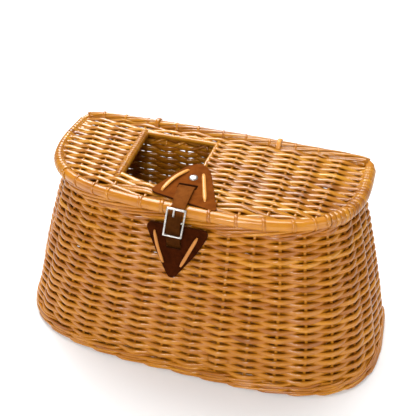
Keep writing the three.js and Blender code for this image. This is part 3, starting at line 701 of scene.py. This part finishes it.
# each rib's x at those depths
RIBS = [
    (-125.5, -116, -109.5, -97),
    (-101, -94.5, -88, -78),
    (-76.5, -71, -67.5, -62.5),
    (-45, -43, -38, -31.5),
    (-23, -20, -16, -12),
    (2.5, 2.7, 2.7, 7),
    (25, 26, 27, 28.5),
    (48, 47.5, 48, 51),
    (73.5, 73.5, 73.5, 73),
    (95, 94, 93, 95.5),
    (117.5, 114.5, 111.5, 111),
]
CUT_RIBS = range(2, 6)  # those that the hole interrupts
BACK_BINDING = 5.0  # radius, over the strands of the back edge


def rib_x(rib, y):
    return np.interp(-np.asarray(y, float), [-depth for depth in RIB_DEPTHS], rib)


HOLE_BACK, HOLE_FRONT = 55, -19
ribs = LidBundle()
bindings = LidBundle()


def bind(share, radius, turn, widths, lean):
    """The end of a rib, flattened and bent over the rod. turn is from, to and steps."""
    at, out = on_rod(share)
    radial = around(out, np.radians(np.linspace(*turn)))
    width = rng.uniform(*widths)
    path = at + radial * radius + np.cross(out, UP) * np.linspace(lean, -lean, turn[2])[:, None]
    bindings.lay(path, radial, width, 1.3, random_tone(0.1))


for number, rib in enumerate(RIBS):
    front, back = share_at(rib[-1], True), share_at(rib[0], False)
    front_end = on_rod(front)[0][1] + 4.5
    back_end = ROD_Y[int(back * FINE)] + 3
    spans = [(back_end, front_end)]
    if number in CUT_RIBS:
        spans = [(back_end, HOLE_BACK + 3), (HOLE_FRONT - 1, front_end)]
    for high, low in spans:
        y = np.linspace(high, low, 24)
        x = rib_x(rib, y)
        path = np.stack([x, y, lid_z(x)], 1)
        ribs.lay(path, UP, RIB_WIDTH, RIB_WIDTH, random_tone(), sides=7)
    bind(front, rod_radius(front) + 0.35, (165, -130, 22), (2.4, 3.4), 1.2)
    bind(back, BACK_BINDING, (170, -20, 16), (2.0, 2.6), 1.5)
ribs.make("lid_ribs", lid_willow)
bindings.make("rod_bindings", willow)

# %% Rows of the lid
LID_ROWS = 26
LID_BACK_ROW, LID_PITCH = 75.6, 4.15
LID_WAVE = 1.85
LID_STEP = 3.0  # from one place on a row to the next
DRIFT_STEPS = 7
BAR_BACK_X, BAR_FRONT_X = -72.5, -66.0
RIGHT_BAR_X = 2.7
LAST_BAR_ROW = -15  # the rows in front of this dip in front of the hole
DIP_X = (-68, -36, -8, 24)  # where that dip starts, is full and ends
LAST_HOOK = 66  # the rows behind this end under the back strands
RIB_BEYOND = 24  # from the last rib to the next that there would be


def lid_span(y):
    """Where a row meets the rod on the left and on the right."""
    reach = float(reach_at(ROD_X, ROD_Y, (ROD_X > END_X) & (ROD_Y < 76), y))
    return -reach, reach


def rib_count(x, y):
    """Which rib a place is at, counted from the left, with shares between."""
    places = np.array([rib_x(rib, y) for rib in RIBS])
    places = np.concatenate([[places[0] - RIB_BEYOND], places, [places[-1] + RIB_BEYOND]])
    return np.interp(x, places, np.arange(-1, len(RIBS) + 1))


def hook(y, side):
    """The end of a row, turned round the rod from its inner side over its top."""
    share = share_at_depth(y, side)
    at, out = on_rod(share)
    radial = around(out, np.radians(np.linspace(150, -75, 12)))
    return at + radial * (rod_radius(share) + 0.7), radial


def joined(row, turn, side):
    """A row's values with those of its hook, at the end where the hook is."""
    return np.concatenate([turn[::-1], row] if side < 0 else [row, turn])


def lid_row(bundle, number, y, start, end, bend=None):
    x = np.append(np.arange(start, end, LID_STEP), end)
    count = len(x)
    depth = np.full(count, float(y)) + (bend(x) if bend else 0)
    depth = depth + drift(count, DRIFT_STEPS, 0.25)
    swing = soft_triangle(rib_count(x, y) + number)
    wave = swing * LID_WAVE * (1 + drift(count, DRIFT_STEPS, 0.06))
    left, right = lid_span(y)
    fade = np.clip((x - left) / 9, 0, 1) * np.clip((right - x) / 9, 0, 1)
    path = np.stack([x, depth, lid_z(x) + wave * fade], 1)
    over = np.abs(wave) / LID_WAVE
    pressed = np.where(wave > 0, -0.1, 2.0)
    tall = (4.5 + pressed * over) * (1 + drift(count, 2 * DRIFT_STEPS, 0.05))
    thick = (2.1 + 0.4 * over) * (1 + drift(count, 2 * DRIFT_STEPS, 0.05))
    tone = random_tone() + drift(count, DRIFT_STEPS, 0.06)
    facing = np.broadcast_to(UP, path.shape)
    for side, row_end, edge in ((-1, start, left), (1, end, right)):
        if abs(row_end - edge) < 0.01 and HOOK_DEPTH <= y < LAST_HOOK:
            turn, radial = hook(y, side)
            inside = side * path[:, 0] < side * turn[0, 0] - 1.5
            end_tone = np.full(len(turn), tone[inside][0 if side < 0 else -1])
            path, facing = joined(path[inside], turn, side), joined(facing[inside], radial, side)
            tall = joined(tall[inside], np.full(len(turn), 4.35), side)
            thick = joined(thick[inside], np.full(len(turn), 1.3), side)
            tone = joined(tone[inside], end_tone, side)
    bundle.lay(path, facing, tall, thick, tone)


lid_rows = LidBundle()
edge_x = np.linspace(-76, 8, 30)
edge = np.stack([edge_x, HOLE_BACK + 1.3 + drift(30, 8, 0.25), lid_z(edge_x) + 0.3], 1)
lid_rows.lay(edge, UP, 3.8, 3.4, 0.62 + drift(30, DRIFT_STEPS, 0.05))
for number in range(LID_ROWS):
    y = LID_BACK_ROW - LID_PITCH * number
    left, right = lid_span(y)
    if y > HOLE_BACK:
        lid_row(lid_rows, number, y, left, right)
    elif y > LAST_BAR_ROW:
        bar_x = float(np.interp(y, [HOLE_FRONT, HOLE_BACK], [BAR_FRONT_X, BAR_BACK_X]))
        lid_row(lid_rows, number, y, left, bar_x)
        lid_row(lid_rows, number, y, RIGHT_BAR_X, right)
    else:
        depth = 7.0 - 1.1 * (number - 22)

        def dip(x, depth=depth):
            return -depth * np.interp(x, DIP_X, [0, 1, 1, 0])

        lid_row(lid_rows, number, y, left, right, dip)


def front_row(bundle, number, away, start, end):
    """A row that bends with the front rod, so far from its middle; both its ends are tucked in."""
    steps = np.arange(60)
    share = np.linspace(share_at(start, True) - 1, share_at(end, True), len(steps))
    at, out = on_rod(share)
    path = at - out * away
    wave = soft_triangle(rib_count(path[:, 0], -38) + number) * LID_WAVE
    fade = np.clip(np.minimum(steps, steps[::-1]) / 6, 0, 1)
    path[:, 2] += wave * fade - 2.5 * (1 - fade)
    tone = random_tone() + drift(len(steps), DRIFT_STEPS, 0.06)
    bundle.lay(path, UP, 3.9, 2.3, tone)


front_row(lid_rows, 0, 8.6, -84, 86)
front_row(lid_rows, 1, 12.4, -72, 70)
lid_rows.make("lid_weave", lid_willow, ["lid_panel"])

# %% Bars of the hole


def along_bar(back, front, count):
    share = np.linspace(0, 1, count)
    x, y = blend(back[0], front[0], share), blend(back[1], front[1], share)
    return np.stack([x, y, lid_z(x)], 1)


left_bar = LidBundle()
bar_path = along_bar((BAR_BACK_X - 0.3, 59), (BAR_FRONT_X + 0.2, -21), 24)
left_bar.lay(bar_path, UP, 6.0, 6.0, 0.5, sides=10)
BAR_TURNS, PER_TURN = 23, 14
WRAP_MIDDLE = 3.2  # from the bar's middle to its wrapping's
count = BAR_TURNS * PER_TURN
core = along_bar((BAR_BACK_X, 57), (BAR_FRONT_X, -19), count)
spin = 2 * np.pi * np.arange(count) / PER_TURN
radial = np.stack([np.cos(spin), np.zeros(count), np.sin(spin)], 1)
left_bar.lay(core + radial * WRAP_MIDDLE, radial, 3.1, 2.0, 0.5 + drift(count, PER_TURN, 0.1))
left_bar.make("hole_bar_wrapped", lid_willow, ["hole_bar_left"])

right_bar = LidBundle()
right_bar.lay(along_bar((2.5, 60), (RIGHT_BAR_X, -20), 20), UP, 4.4, 4.4, 0.62, sides=12)
right_bar.make("hole_bar_bare", lid_willow, ["hole_bar_right"])

# %% [markdown]
# ## Leather patches
# Each patch is a triangle of thick leather with round corners. It is cut flat, so it starts as a circle
# of a few points: they are moved to the corners, the corners are rounded by a bevel, and the face is
# pulled up to the leather's thickness. The slot is cut by a box, and a narrow bevel breaks the edges.

# %% Mesh helpers


def new_piece(name):
    """The object that was just added, with its name."""
    piece = bpy.context.object
    piece.name = piece.data.name = name
    return piece


def solo(piece):
    bpy.ops.object.select_all(action="DESELECT")
    piece.select_set(True)
    bpy.context.view_layer.objects.active = piece


def edit_mesh(action="SELECT"):
    bpy.ops.object.mode_set(mode="EDIT")
    bpy.ops.mesh.select_all(action=action)


def end_edit():
    bpy.ops.object.mode_set(mode="OBJECT")


def face_outwards():
    bpy.ops.mesh.select_all(action="SELECT")
    bpy.ops.mesh.normals_make_consistent(inside=False)


def thicken(millimetres):
    move = {"value": (0, 0, millimetres * MM)}
    bpy.ops.mesh.extrude_region_move(TRANSFORM_OT_translate=move)
    face_outwards()
    end_edit()


def apply_modifier(piece, kind, **settings):
    modifier = piece.modifiers.new(kind.title(), kind)
    for key, value in settings.items():
        setattr(modifier, key, value)
    solo(piece)
    bpy.ops.object.modifier_apply(modifier=modifier.name)


def break_edges(piece, width, segments, limit, smooth):
    """A bevel where faces meet at more than the limit, and smooth shading below another angle."""
    apply_modifier(
        piece, "BEVEL", width=width * MM, segments=segments, limit_method="ANGLE",
        angle_limit=math.radians(limit),
    )
    bpy.ops.object.shade_smooth_by_angle(angle=math.radians(smooth))


def place_in_mesh(piece, matrix):
    """Moves the mesh, not the object, so that the object stays at the origin."""
    piece.data.transform(matrix)
    piece.matrix_world = Matrix.Identity(4)
    piece.data.update()


def front_plane(origin, lean, height):
    """A plane on the basket's front: x to the right, y up it, z out of it. It leans by two shares."""
    down, out = Vector((0, -lean, -height)).normalized(), Vector((0, -height, lean)).normalized()
    axes = Matrix((Vector((1, 0, 0)), -down, out)).transposed()
    return Matrix.Translation(Vector(origin) * MM) @ axes.to_4x4()


def cut_by(piece, cutter):
    apply_modifier(piece, "BOOLEAN", operation="DIFFERENCE", object=cutter, solver="EXACT")
    bpy.data.objects.remove(cutter)


# %% Patch maker
LEATHER = 2.4
EDGE_NORMAL = 0.4  # faces that look less far up than this are the cut edge


def leather_patch(name, corners, slot_at, slot_size, finish):
    """corners are (x, y, rounding) in mm, anticlockwise."""
    bpy.ops.mesh.primitive_circle_add(vertices=len(corners), radius=1, fill_type="NGON")
    piece = new_piece(name)
    for vertex, (x, y, _) in zip(piece.data.vertices, corners):
        vertex.co = Vector((x, y, 0)) * MM
    for x, y, rounding in corners:
        edit_mesh("DESELECT")
        bpy.ops.mesh.select_mode(type="VERT")
        end_edit()
        target = Vector((x, y, 0)) * MM
        nearest = min(piece.data.vertices, key=lambda v: (v.co - target).length)
        nearest.select = True
        bpy.ops.object.mode_set(mode="EDIT")
        bpy.ops.mesh.bevel(offset=rounding * MM, segments=8, affect="VERTICES")
        end_edit()
    edit_mesh()
    face_outwards()
    thicken(LEATHER)
    width, height = slot_size
    at, size = Vector((*slot_at, 0)) * MM, (width * MM, height * MM, 0.02)
    bpy.ops.mesh.primitive_cube_add(size=1, location=at, scale=size)
    cut_by(piece, bpy.context.object)
    break_edges(piece, 0.5, 3, 30, 40)
    piece.data.materials.append(finish)
    piece.data.materials.append(cut_edge)
    for polygon in piece.data.polygons:
        polygon.material_index = 1 if abs(polygon.normal.z) < EDGE_NORMAL else 0
    return piece


# %% Both patches
LID_PATCH_LOW = 190.5
LID_CORNERS = [(-31, -36.4, 6.5), (33.2, -49.6, 6.5), (1, 32, 36)]
LID_SLOT, LID_SLOT_SIZE = (-0.8, -22.6), (16.8, 6.4)
lid_patch = leather_patch("lid_patch_leather", LID_CORNERS, LID_SLOT, LID_SLOT_SIZE, lid_leather)
place_in_mesh(lid_patch, Matrix.Translation((0, 0, LID_PATCH_LOW * MM)))
settle(lid_patch, ["lid_patch"])

patch_plane = front_plane((0, -48.267, 171.97), 0.188, 0.982)
FRONT_CORNERS = [
    (-30.2, -2.2, 6.5),
    (-23.4, -22, 11),
    (-6.3, -59.3, 9.5),
    (19.4, -21.5, 12),
    (27.4, -1.2, 7.0),
]
FRONT_SLOT, FRONT_SLOT_SIZE = (-4.1, -20), (13.4, 8.4)
front_patch = leather_patch(
    "front_patch_leather", FRONT_CORNERS, FRONT_SLOT, FRONT_SLOT_SIZE, shaded_front_leather
)
place_in_mesh(front_patch, patch_plane)
settle(front_patch, ["front_patch"])

# %% [markdown]
# ## Straps
# The closing strap comes up through the slot in the lid's patch, bends over the rod, dives behind the
# buckle's top bar, passes over its middle bar and ends in the slot of the front patch. It starts as a
# narrow face whose leading edge is extruded from place to place; Solidify gives the leather its
# thickness and a bevel breaks its edges. The folded strap that holds the buckle is already right in the
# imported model, so a copy of it is merged and gets its edges broken.

# %% Closing strap
STRAP = 1.8
# x, y, z of the middle and the width, from slot to slot
STRAP_COURSE = [
    (-0.8, -21.4, 187.5, 14.6), (-0.8, -21.9, 190.4, 14.6), (-0.8, -23.3, 192.6, 14.5),
    (-0.7, -26.0, 193.9, 14.3), (-0.4, -30.0, 194.6, 14.0), (0.0, -35.0, 194.9, 13.6),
    (0.4, -40.0, 195.0, 13.2), (0.8, -45.0, 194.9, 12.8), (1.1, -49.0, 194.5, 12.3),
    (1.2, -51.7, 193.7, 11.9), (0.9, -53.4, 192.2, 11.9), (-0.2, -54.6, 189.8, 12.3),
    (-1.0, -55.9, 186.6, 12.5), (-1.4, -57.6, 183.2, 12.4), (-1.8, -58.9, 180.0, 12.3),
    (-2.2, -58.7, 176.6, 12.2), (-2.6, -57.7, 172.6, 12.1), (-3.0, -56.7, 167.2, 12.0),
    (-3.4, -55.9, 162.5, 12.0), (-3.7, -55.2, 158.0, 12.0), (-3.9, -54.3, 154.4, 12.0),
    (-4.1, -52.4, 152.0, 12.0), (-4.1, -49.8, 150.8, 12.0),
]


def smooth_course(course, steps=3):
    """More places between the given ones, on a smooth line through them."""
    course = np.array(course)
    fine = []
    for i in range(len(course) - 1):
        before, start = course[max(i - 1, 0)], course[i]
        end, after = course[i + 1], course[min(i + 2, len(course) - 1)]
        for t in np.arange(steps) / steps:
            pull = 3 * (start - end) + after - before
            ease = 2 * before - 5 * start + 4 * end - after
            fine.append(0.5 * (2 * start + (end - before) * t + ease * t * t + pull * t ** 3))
    return np.array(fine + [course[-1]])


def strap_by_steps(name, course):
    """One edge, extruded along the course."""
    bpy.ops.mesh.primitive_plane_add(size=1)
    strap = new_piece(name)
    edit_mesh("DESELECT")
    bpy.ops.mesh.select_mode(type="EDGE")
    end_edit()
    lines = [np.array([[x - w / 2, y, z], [x + w / 2, y, z]]) for x, y, z, w in course]
    for vertex in strap.data.vertices:
        line = lines[0] if vertex.co.y > 0 else lines[1]
        vertex.co = Vector(line[0 if vertex.co.x < 0 else 1]) * MM
    leading = lines[1][0][2] * MM
    ends = {i for i, v in enumerate(strap.data.vertices) if abs(v.co.z - leading) < 1e-7}
    for edge in strap.data.edges:
        edge.select = set(edge.vertices) == ends
    bpy.ops.object.mode_set(mode="EDIT")
    for line, following in zip(lines[1:], lines[2:]):
        step = Vector(following.mean(0) - line.mean(0)) * MM
        bpy.ops.mesh.extrude_region_move(TRANSFORM_OT_translate={"value": step})
        grow = (following[1, 0] - following[0, 0]) / (line[1, 0] - line[0, 0])
        middle = Vector(following.mean(0)) * MM
        bpy.ops.transform.resize(value=(grow, 1, 1), center_override=middle)
    end_edit()
    return strap


closing_strap = strap_by_steps("closing_strap_leather", smooth_course(STRAP_COURSE))
apply_modifier(closing_strap, "SOLIDIFY", thickness=STRAP * MM, offset=0, use_even_offset=True)
edit_mesh()
face_outwards()
end_edit()
EYELET, EYELET_RADIUS = Vector((-2.3, -55.8, 186.6)) * MM, 1.4 * MM
bpy.ops.mesh.primitive_cylinder_add(
    vertices=20, radius=EYELET_RADIUS, depth=0.012, location=EYELET, rotation=(math.radians(83), 0, 0)
)
cut_by(closing_strap, bpy.context.object)
break_edges(closing_strap, 0.35, 2, 50, 40)
closing_strap.data.materials.append(strap_leather)
settle(closing_strap, ["closing_strap"])

# %% Folded strap
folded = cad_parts["buckle_strap"].copy()
folded.data = folded.data.copy()
folded.name = folded.data.name = "buckle_strap_leather"
for key in list(folded.keys()):
    del folded[key]
folded.parent = None
bpy.context.scene.collection.objects.link(folded)
folded.data.materials.clear()
folded.data.materials.append(strap_leather)
solo(folded)
edit_mesh()
bpy.ops.mesh.remove_doubles(threshold=0.00001)
end_edit()
break_edges(folded, 0.2, 2, 50, 40)
settle(folded, ["buckle_strap"])

# %% [markdown]
# ## Cane stitches
# Each patch is held by two strips of flat cane that come up through the leather at one end and go down
# at the other. They are strands like the willow, bent down at both ends.

# %% Cane stitches
CANE_LIFT = 0.7  # of the strip's middle above the leather


def stitch(bundle, start, end, rise, bow=0.0, width=3.4, tone=0.5):
    """A strip in the patch's own plane, from one hole to the other."""
    start, end = np.array([*start, 0.0]), np.array([*end, 0.0])
    share = np.array([0, 0, 0.01, 0.03, 0.06, *np.linspace(0.1, 0.9, 11), 0.94, 0.97, 0.99, 1, 1])
    height = np.array([-1, 0.3, 0.75, 0.93, 1, *np.ones(11), 1, 0.93, 0.75, 0.3, -1])
    aside = unit(np.cross(end - start, UP))
    path = start + (end - start) * share[:, None] + UP * ((LEATHER + CANE_LIFT) * height)[:, None]
    path = path + (aside * bow + UP * rise) * np.sin(np.pi * share)[:, None]
    taper = 0.55 + 0.45 * np.clip(np.minimum(share, 1 - share) / 0.12, 0, 1)
    bundle.lay(path, facing(path), width * taper, 1.6, tone, sides=10)


def facing(path):
    """Out of the leather in the middle, and away from the strip's middle at its ends."""
    along = unit(path[-1] - path[0])
    lean = np.linspace(-1, 1, len(path)) ** 9
    return unit(UP + along * lean[:, None])


def lay_on(plane, bundle):
    """Takes strands that were drawn on a flat table to their place."""
    plane = np.array(plane)
    bundle.points = [points @ plane[:3, :3].T + plane[:3, 3] / MM for points in bundle.points]


lid_stitches = Bundle()
stitch(lid_stitches, (-20, -34.1), (-6.9, 0.4), 1.2, -1.6, 3.6)
stitch(lid_stitches, (7.0, -1.9), (19.3, -38.7), 0.3)
for points in lid_stitches.points:
    points += np.array([0, 0, LID_PATCH_LOW])
lid_stitches.make("lid_stitches", cane, ["cane_stitch_lid_1", "cane_stitch_lid_2"], "cane")

front_stitches = Bundle()
# The front strips get a very low tone, 0.05: painted shade on the front patch.
stitch(front_stitches, (-21.3, -9.2), (-13, -39.5), 0.3, 0.8, 3.0, 0.05)
stitch(front_stitches, (16.7, -9.1), (2.8, -40.7), 0.3, 0.0, 3.0, 0.05)
lay_on(patch_plane, front_stitches)
front_stitches.make("front_stitches", cane, ["cane_stitch_front_1", "cane_stitch_front_2"], "cane")

# %% [markdown]
# ## Buckle, prong and rivet
# The buckle is a cast frame with round bars. It starts as a flat face that is inset, so that the rim of
# the inset is the bars; the inner face is deleted, the ring gets its thickness, and a wide bevel rounds
# it. It leans and turns a little, as it hangs in the photograph. The prong is a wire
# bent round the middle bar. The rivet is a sphere pressed flat.

# %% Buckle frame
TOP_BAR = (0.7, -56.6, 192.7)
BUCKLE_LEAN, BUCKLE_YAW = math.radians(8), math.radians(9)
SPAN = 25.2  # from the middle of the top bar to the lower one's
HALF_WIDTH, BUCKLE_TOP, BUCKLE_LOW = 8.3, 1.7, -SPAN - 1.3
BUCKLE_THICKNESS, BAR_WIDTH = 2.2, 1.6
BAR_RADIUS, BAR_LENGTH, BAR_DROP = 1.1, 14.8, -2
buckle_turn = Matrix.Rotation(BUCKLE_YAW, 4, "Y") @ Matrix.Rotation(-BUCKLE_LEAN, 4, "Z")
buckle_plane = front_plane(TOP_BAR, 0.125, 0.992) @ buckle_turn
bpy.ops.mesh.primitive_plane_add(size=1)
ring = new_piece("buckle_ring")
for vertex in ring.data.vertices:
    x = HALF_WIDTH if vertex.co.x > 0 else -HALF_WIDTH
    y = BUCKLE_TOP if vertex.co.y > 0 else BUCKLE_LOW
    vertex.co = Vector((x, y, -BUCKLE_THICKNESS / 2)) * MM
edit_mesh()
bpy.ops.mesh.inset(thickness=BAR_WIDTH * MM)
bpy.ops.mesh.delete(type="FACE")
bpy.ops.mesh.select_all(action="SELECT")
thicken(BUCKLE_THICKNESS)
break_edges(ring, 0.85, 3, 40, 60)
bpy.ops.mesh.primitive_cylinder_add(
    vertices=20, radius=BAR_RADIUS * MM, depth=BAR_LENGTH * MM,
    location=Vector((0, -SPAN / 2, BAR_DROP)) * MM, rotation=(0, math.pi / 2, 0),
)
bar = bpy.context.object
bpy.ops.object.transform_apply(location=True, rotation=True, scale=True)
bpy.ops.object.shade_smooth_by_angle(angle=math.radians(60))
solo(ring)
bar.select_set(True)
bpy.ops.object.join()
ring.data.materials.clear()
ring.data.materials.append(nickel)
place_in_mesh(ring, buckle_plane)
settle(ring, ["buckle_frame"])

# %% Prong and rivet
EYE_RADIUS, PRONG_X = 2.1, -1.7
turn = np.radians(np.linspace(-60, -300, 20))
eye_y, eye_z = -SPAN / 2 + EYE_RADIUS * np.sin(turn), BAR_DROP + EYE_RADIUS * np.cos(turn)
eye = np.stack([np.zeros(20), eye_y, eye_z], 1)
# along the buckle from its top bar, and out of it
TONGUE = [(-9.6, -1.6), (-7.6, -1.5), (-6.4, -0.4), (-5.2, 1.0), (-3.6, 1.8), (-1.0, 2.0), (1.4, 1.75)]
tongue = np.array([(0.0, along, out) for along, out in TONGUE])
wire = smooth_course(np.concatenate([eye[::3], tongue]))
wire[:, 0] += PRONG_X
width = np.linspace(1.8, 1.5, len(wire))
prong = Bundle()
prong.lay(wire, (1, 0, 0), width, width, 0.5, sides=10)
lay_on(buckle_plane, prong)
prong.make("buckle_tongue", nickel, ["buckle_prong"], "nickel")

RIVET_RADIUS, FLATNESS = 4.0, 0.36
bpy.ops.mesh.primitive_uv_sphere_add(segments=28, ring_count=16, radius=RIVET_RADIUS * MM)
rivet = new_piece("rivet_head")
edit_mesh()
bpy.ops.transform.resize(value=(1, 1, FLATNESS))
bpy.ops.mesh.bisect(plane_co=(0, 0, 0), plane_no=(0, 0, 1), use_fill=True, clear_inner=True)
end_edit()
bpy.ops.object.shade_smooth_by_angle(angle=math.radians(50))
rivet.data.materials.append(nickel)
place_in_mesh(rivet, Matrix.Translation(Vector((0.2, -9.6, LID_PATCH_LOW + LEATHER + 0.1)) * MM))
settle(rivet, ["patch_rivet"])

# %% [markdown]
# ## Hinge loops
# Two bindings of split willow hold the lid's back rod to the rim. Each goes tightly over the rod and
# down through the weave under the rim, as a flat strip that closes on itself.

# %% Hinge loops
HINGE_RADIUS = 6.3
HOOK_RADIUS = 4  # of the bend under the rim
LOOP_WIDTH, LOOP_THICKNESS = 4.4, 1.9


def hinge_loop(name, node, x, finish):
    at, _ = on_rod(share_at(x, False))
    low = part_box(node)[0][2] / MM + 2.5 + HOOK_RADIUS
    turn = np.radians(np.linspace(0, 180, 15))
    side_x = np.full(len(turn), x)
    y, z = HINGE_RADIUS * np.cos(turn), HINGE_RADIUS * np.sin(turn)
    over = np.stack([side_x, at[1] + y, at[2] + z], 1)
    under = np.stack([side_x, at[1] - y, low - HOOK_RADIUS * np.sin(turn)], 1)
    side = np.linspace(0.25, 0.75, 3)[:, None]
    inner, outer = blend(over[-1], under[0], side), blend(under[-1], over[0], side)
    path = np.concatenate([over, inner, under, outer])
    middle = path * (1, 0, 1) + at * (0, 1, 0)
    middle[:, 2] = np.clip(middle[:, 2], low, at[2])
    loop = LidBundle()
    loop.lay(path, unit(path - middle), LOOP_WIDTH, LOOP_THICKNESS, 0.5, closed=True, sides=10)
    loop.make(name, finish, [node], "cane")


hinge_loop("hinge_binding_left", "hinge_loop_left", -65, willow)
hinge_loop("hinge_binding_right", "hinge_loop_right", 58, cane)

# %% [markdown]
# ## Floor and light
# The photograph was taken on white, in soft light. A wide pale floor, a broad sun from above and a weak
# even sky give its soft shadows. Two small lamps near the camera, one low and one high, put the short
# white highlights on the varnish; larger, softer ones left and right light the ends, and one behind
# lights the back, which the photograph doesn't show.

# %% Floor
bpy.ops.mesh.primitive_plane_add(size=12, location=(0, 0, 0))
floor = bpy.context.object
floor.name = "floor"
floor_paint = Paint("pale_floor", Roughness=0.9, Base_Color=(0.82, 0.82, 0.82, 1))
floor.data.materials.append(floor_paint.material)

# %% Lights


def light(kind, name, at, towards, power):
    bpy.ops.object.light_add(type=kind, location=at)
    made = bpy.context.object
    made.name = name
    made.data.energy = power
    made.rotation_euler = Vector(towards).to_track_quat("-Z", "Y").to_euler()
    return made.data


def lamp(name, at, size, power):
    data = light("AREA", name, at, Vector((0, 0, 0.1)) - Vector(at), power)
    data.shape = "DISK"
    data.size = size


lamp("front_lamp", (-0.02, -1.2, 0.55), 0.3, 5.5)
lamp("high_lamp", (0.12, -0.95, 1.05), 0.34, 5.5)
lamp("left_lamp", (-1.1, -0.6, 0.7), 0.8, 4)
lamp("right_lamp", (1.2, -0.55, 0.6), 0.8, 4.5)
lamp("back_lamp", (-0.45, 0.8, 0.95), 0.6, 10)
light("SUN", "top_sun", (0, 0, 2), (0.13, -0.38, -0.9), 2.6).angle = math.radians(35)
world = bpy.data.worlds.new("soft_sky")
world.use_nodes = True
sky = world.node_tree.nodes["Background"].inputs
sky["Color"].default_value = (1, 1, 1, 1)
sky["Strength"].default_value = 0.27
bpy.context.scene.world = world
bpy.context.scene.view_settings.view_transform = "Standard"
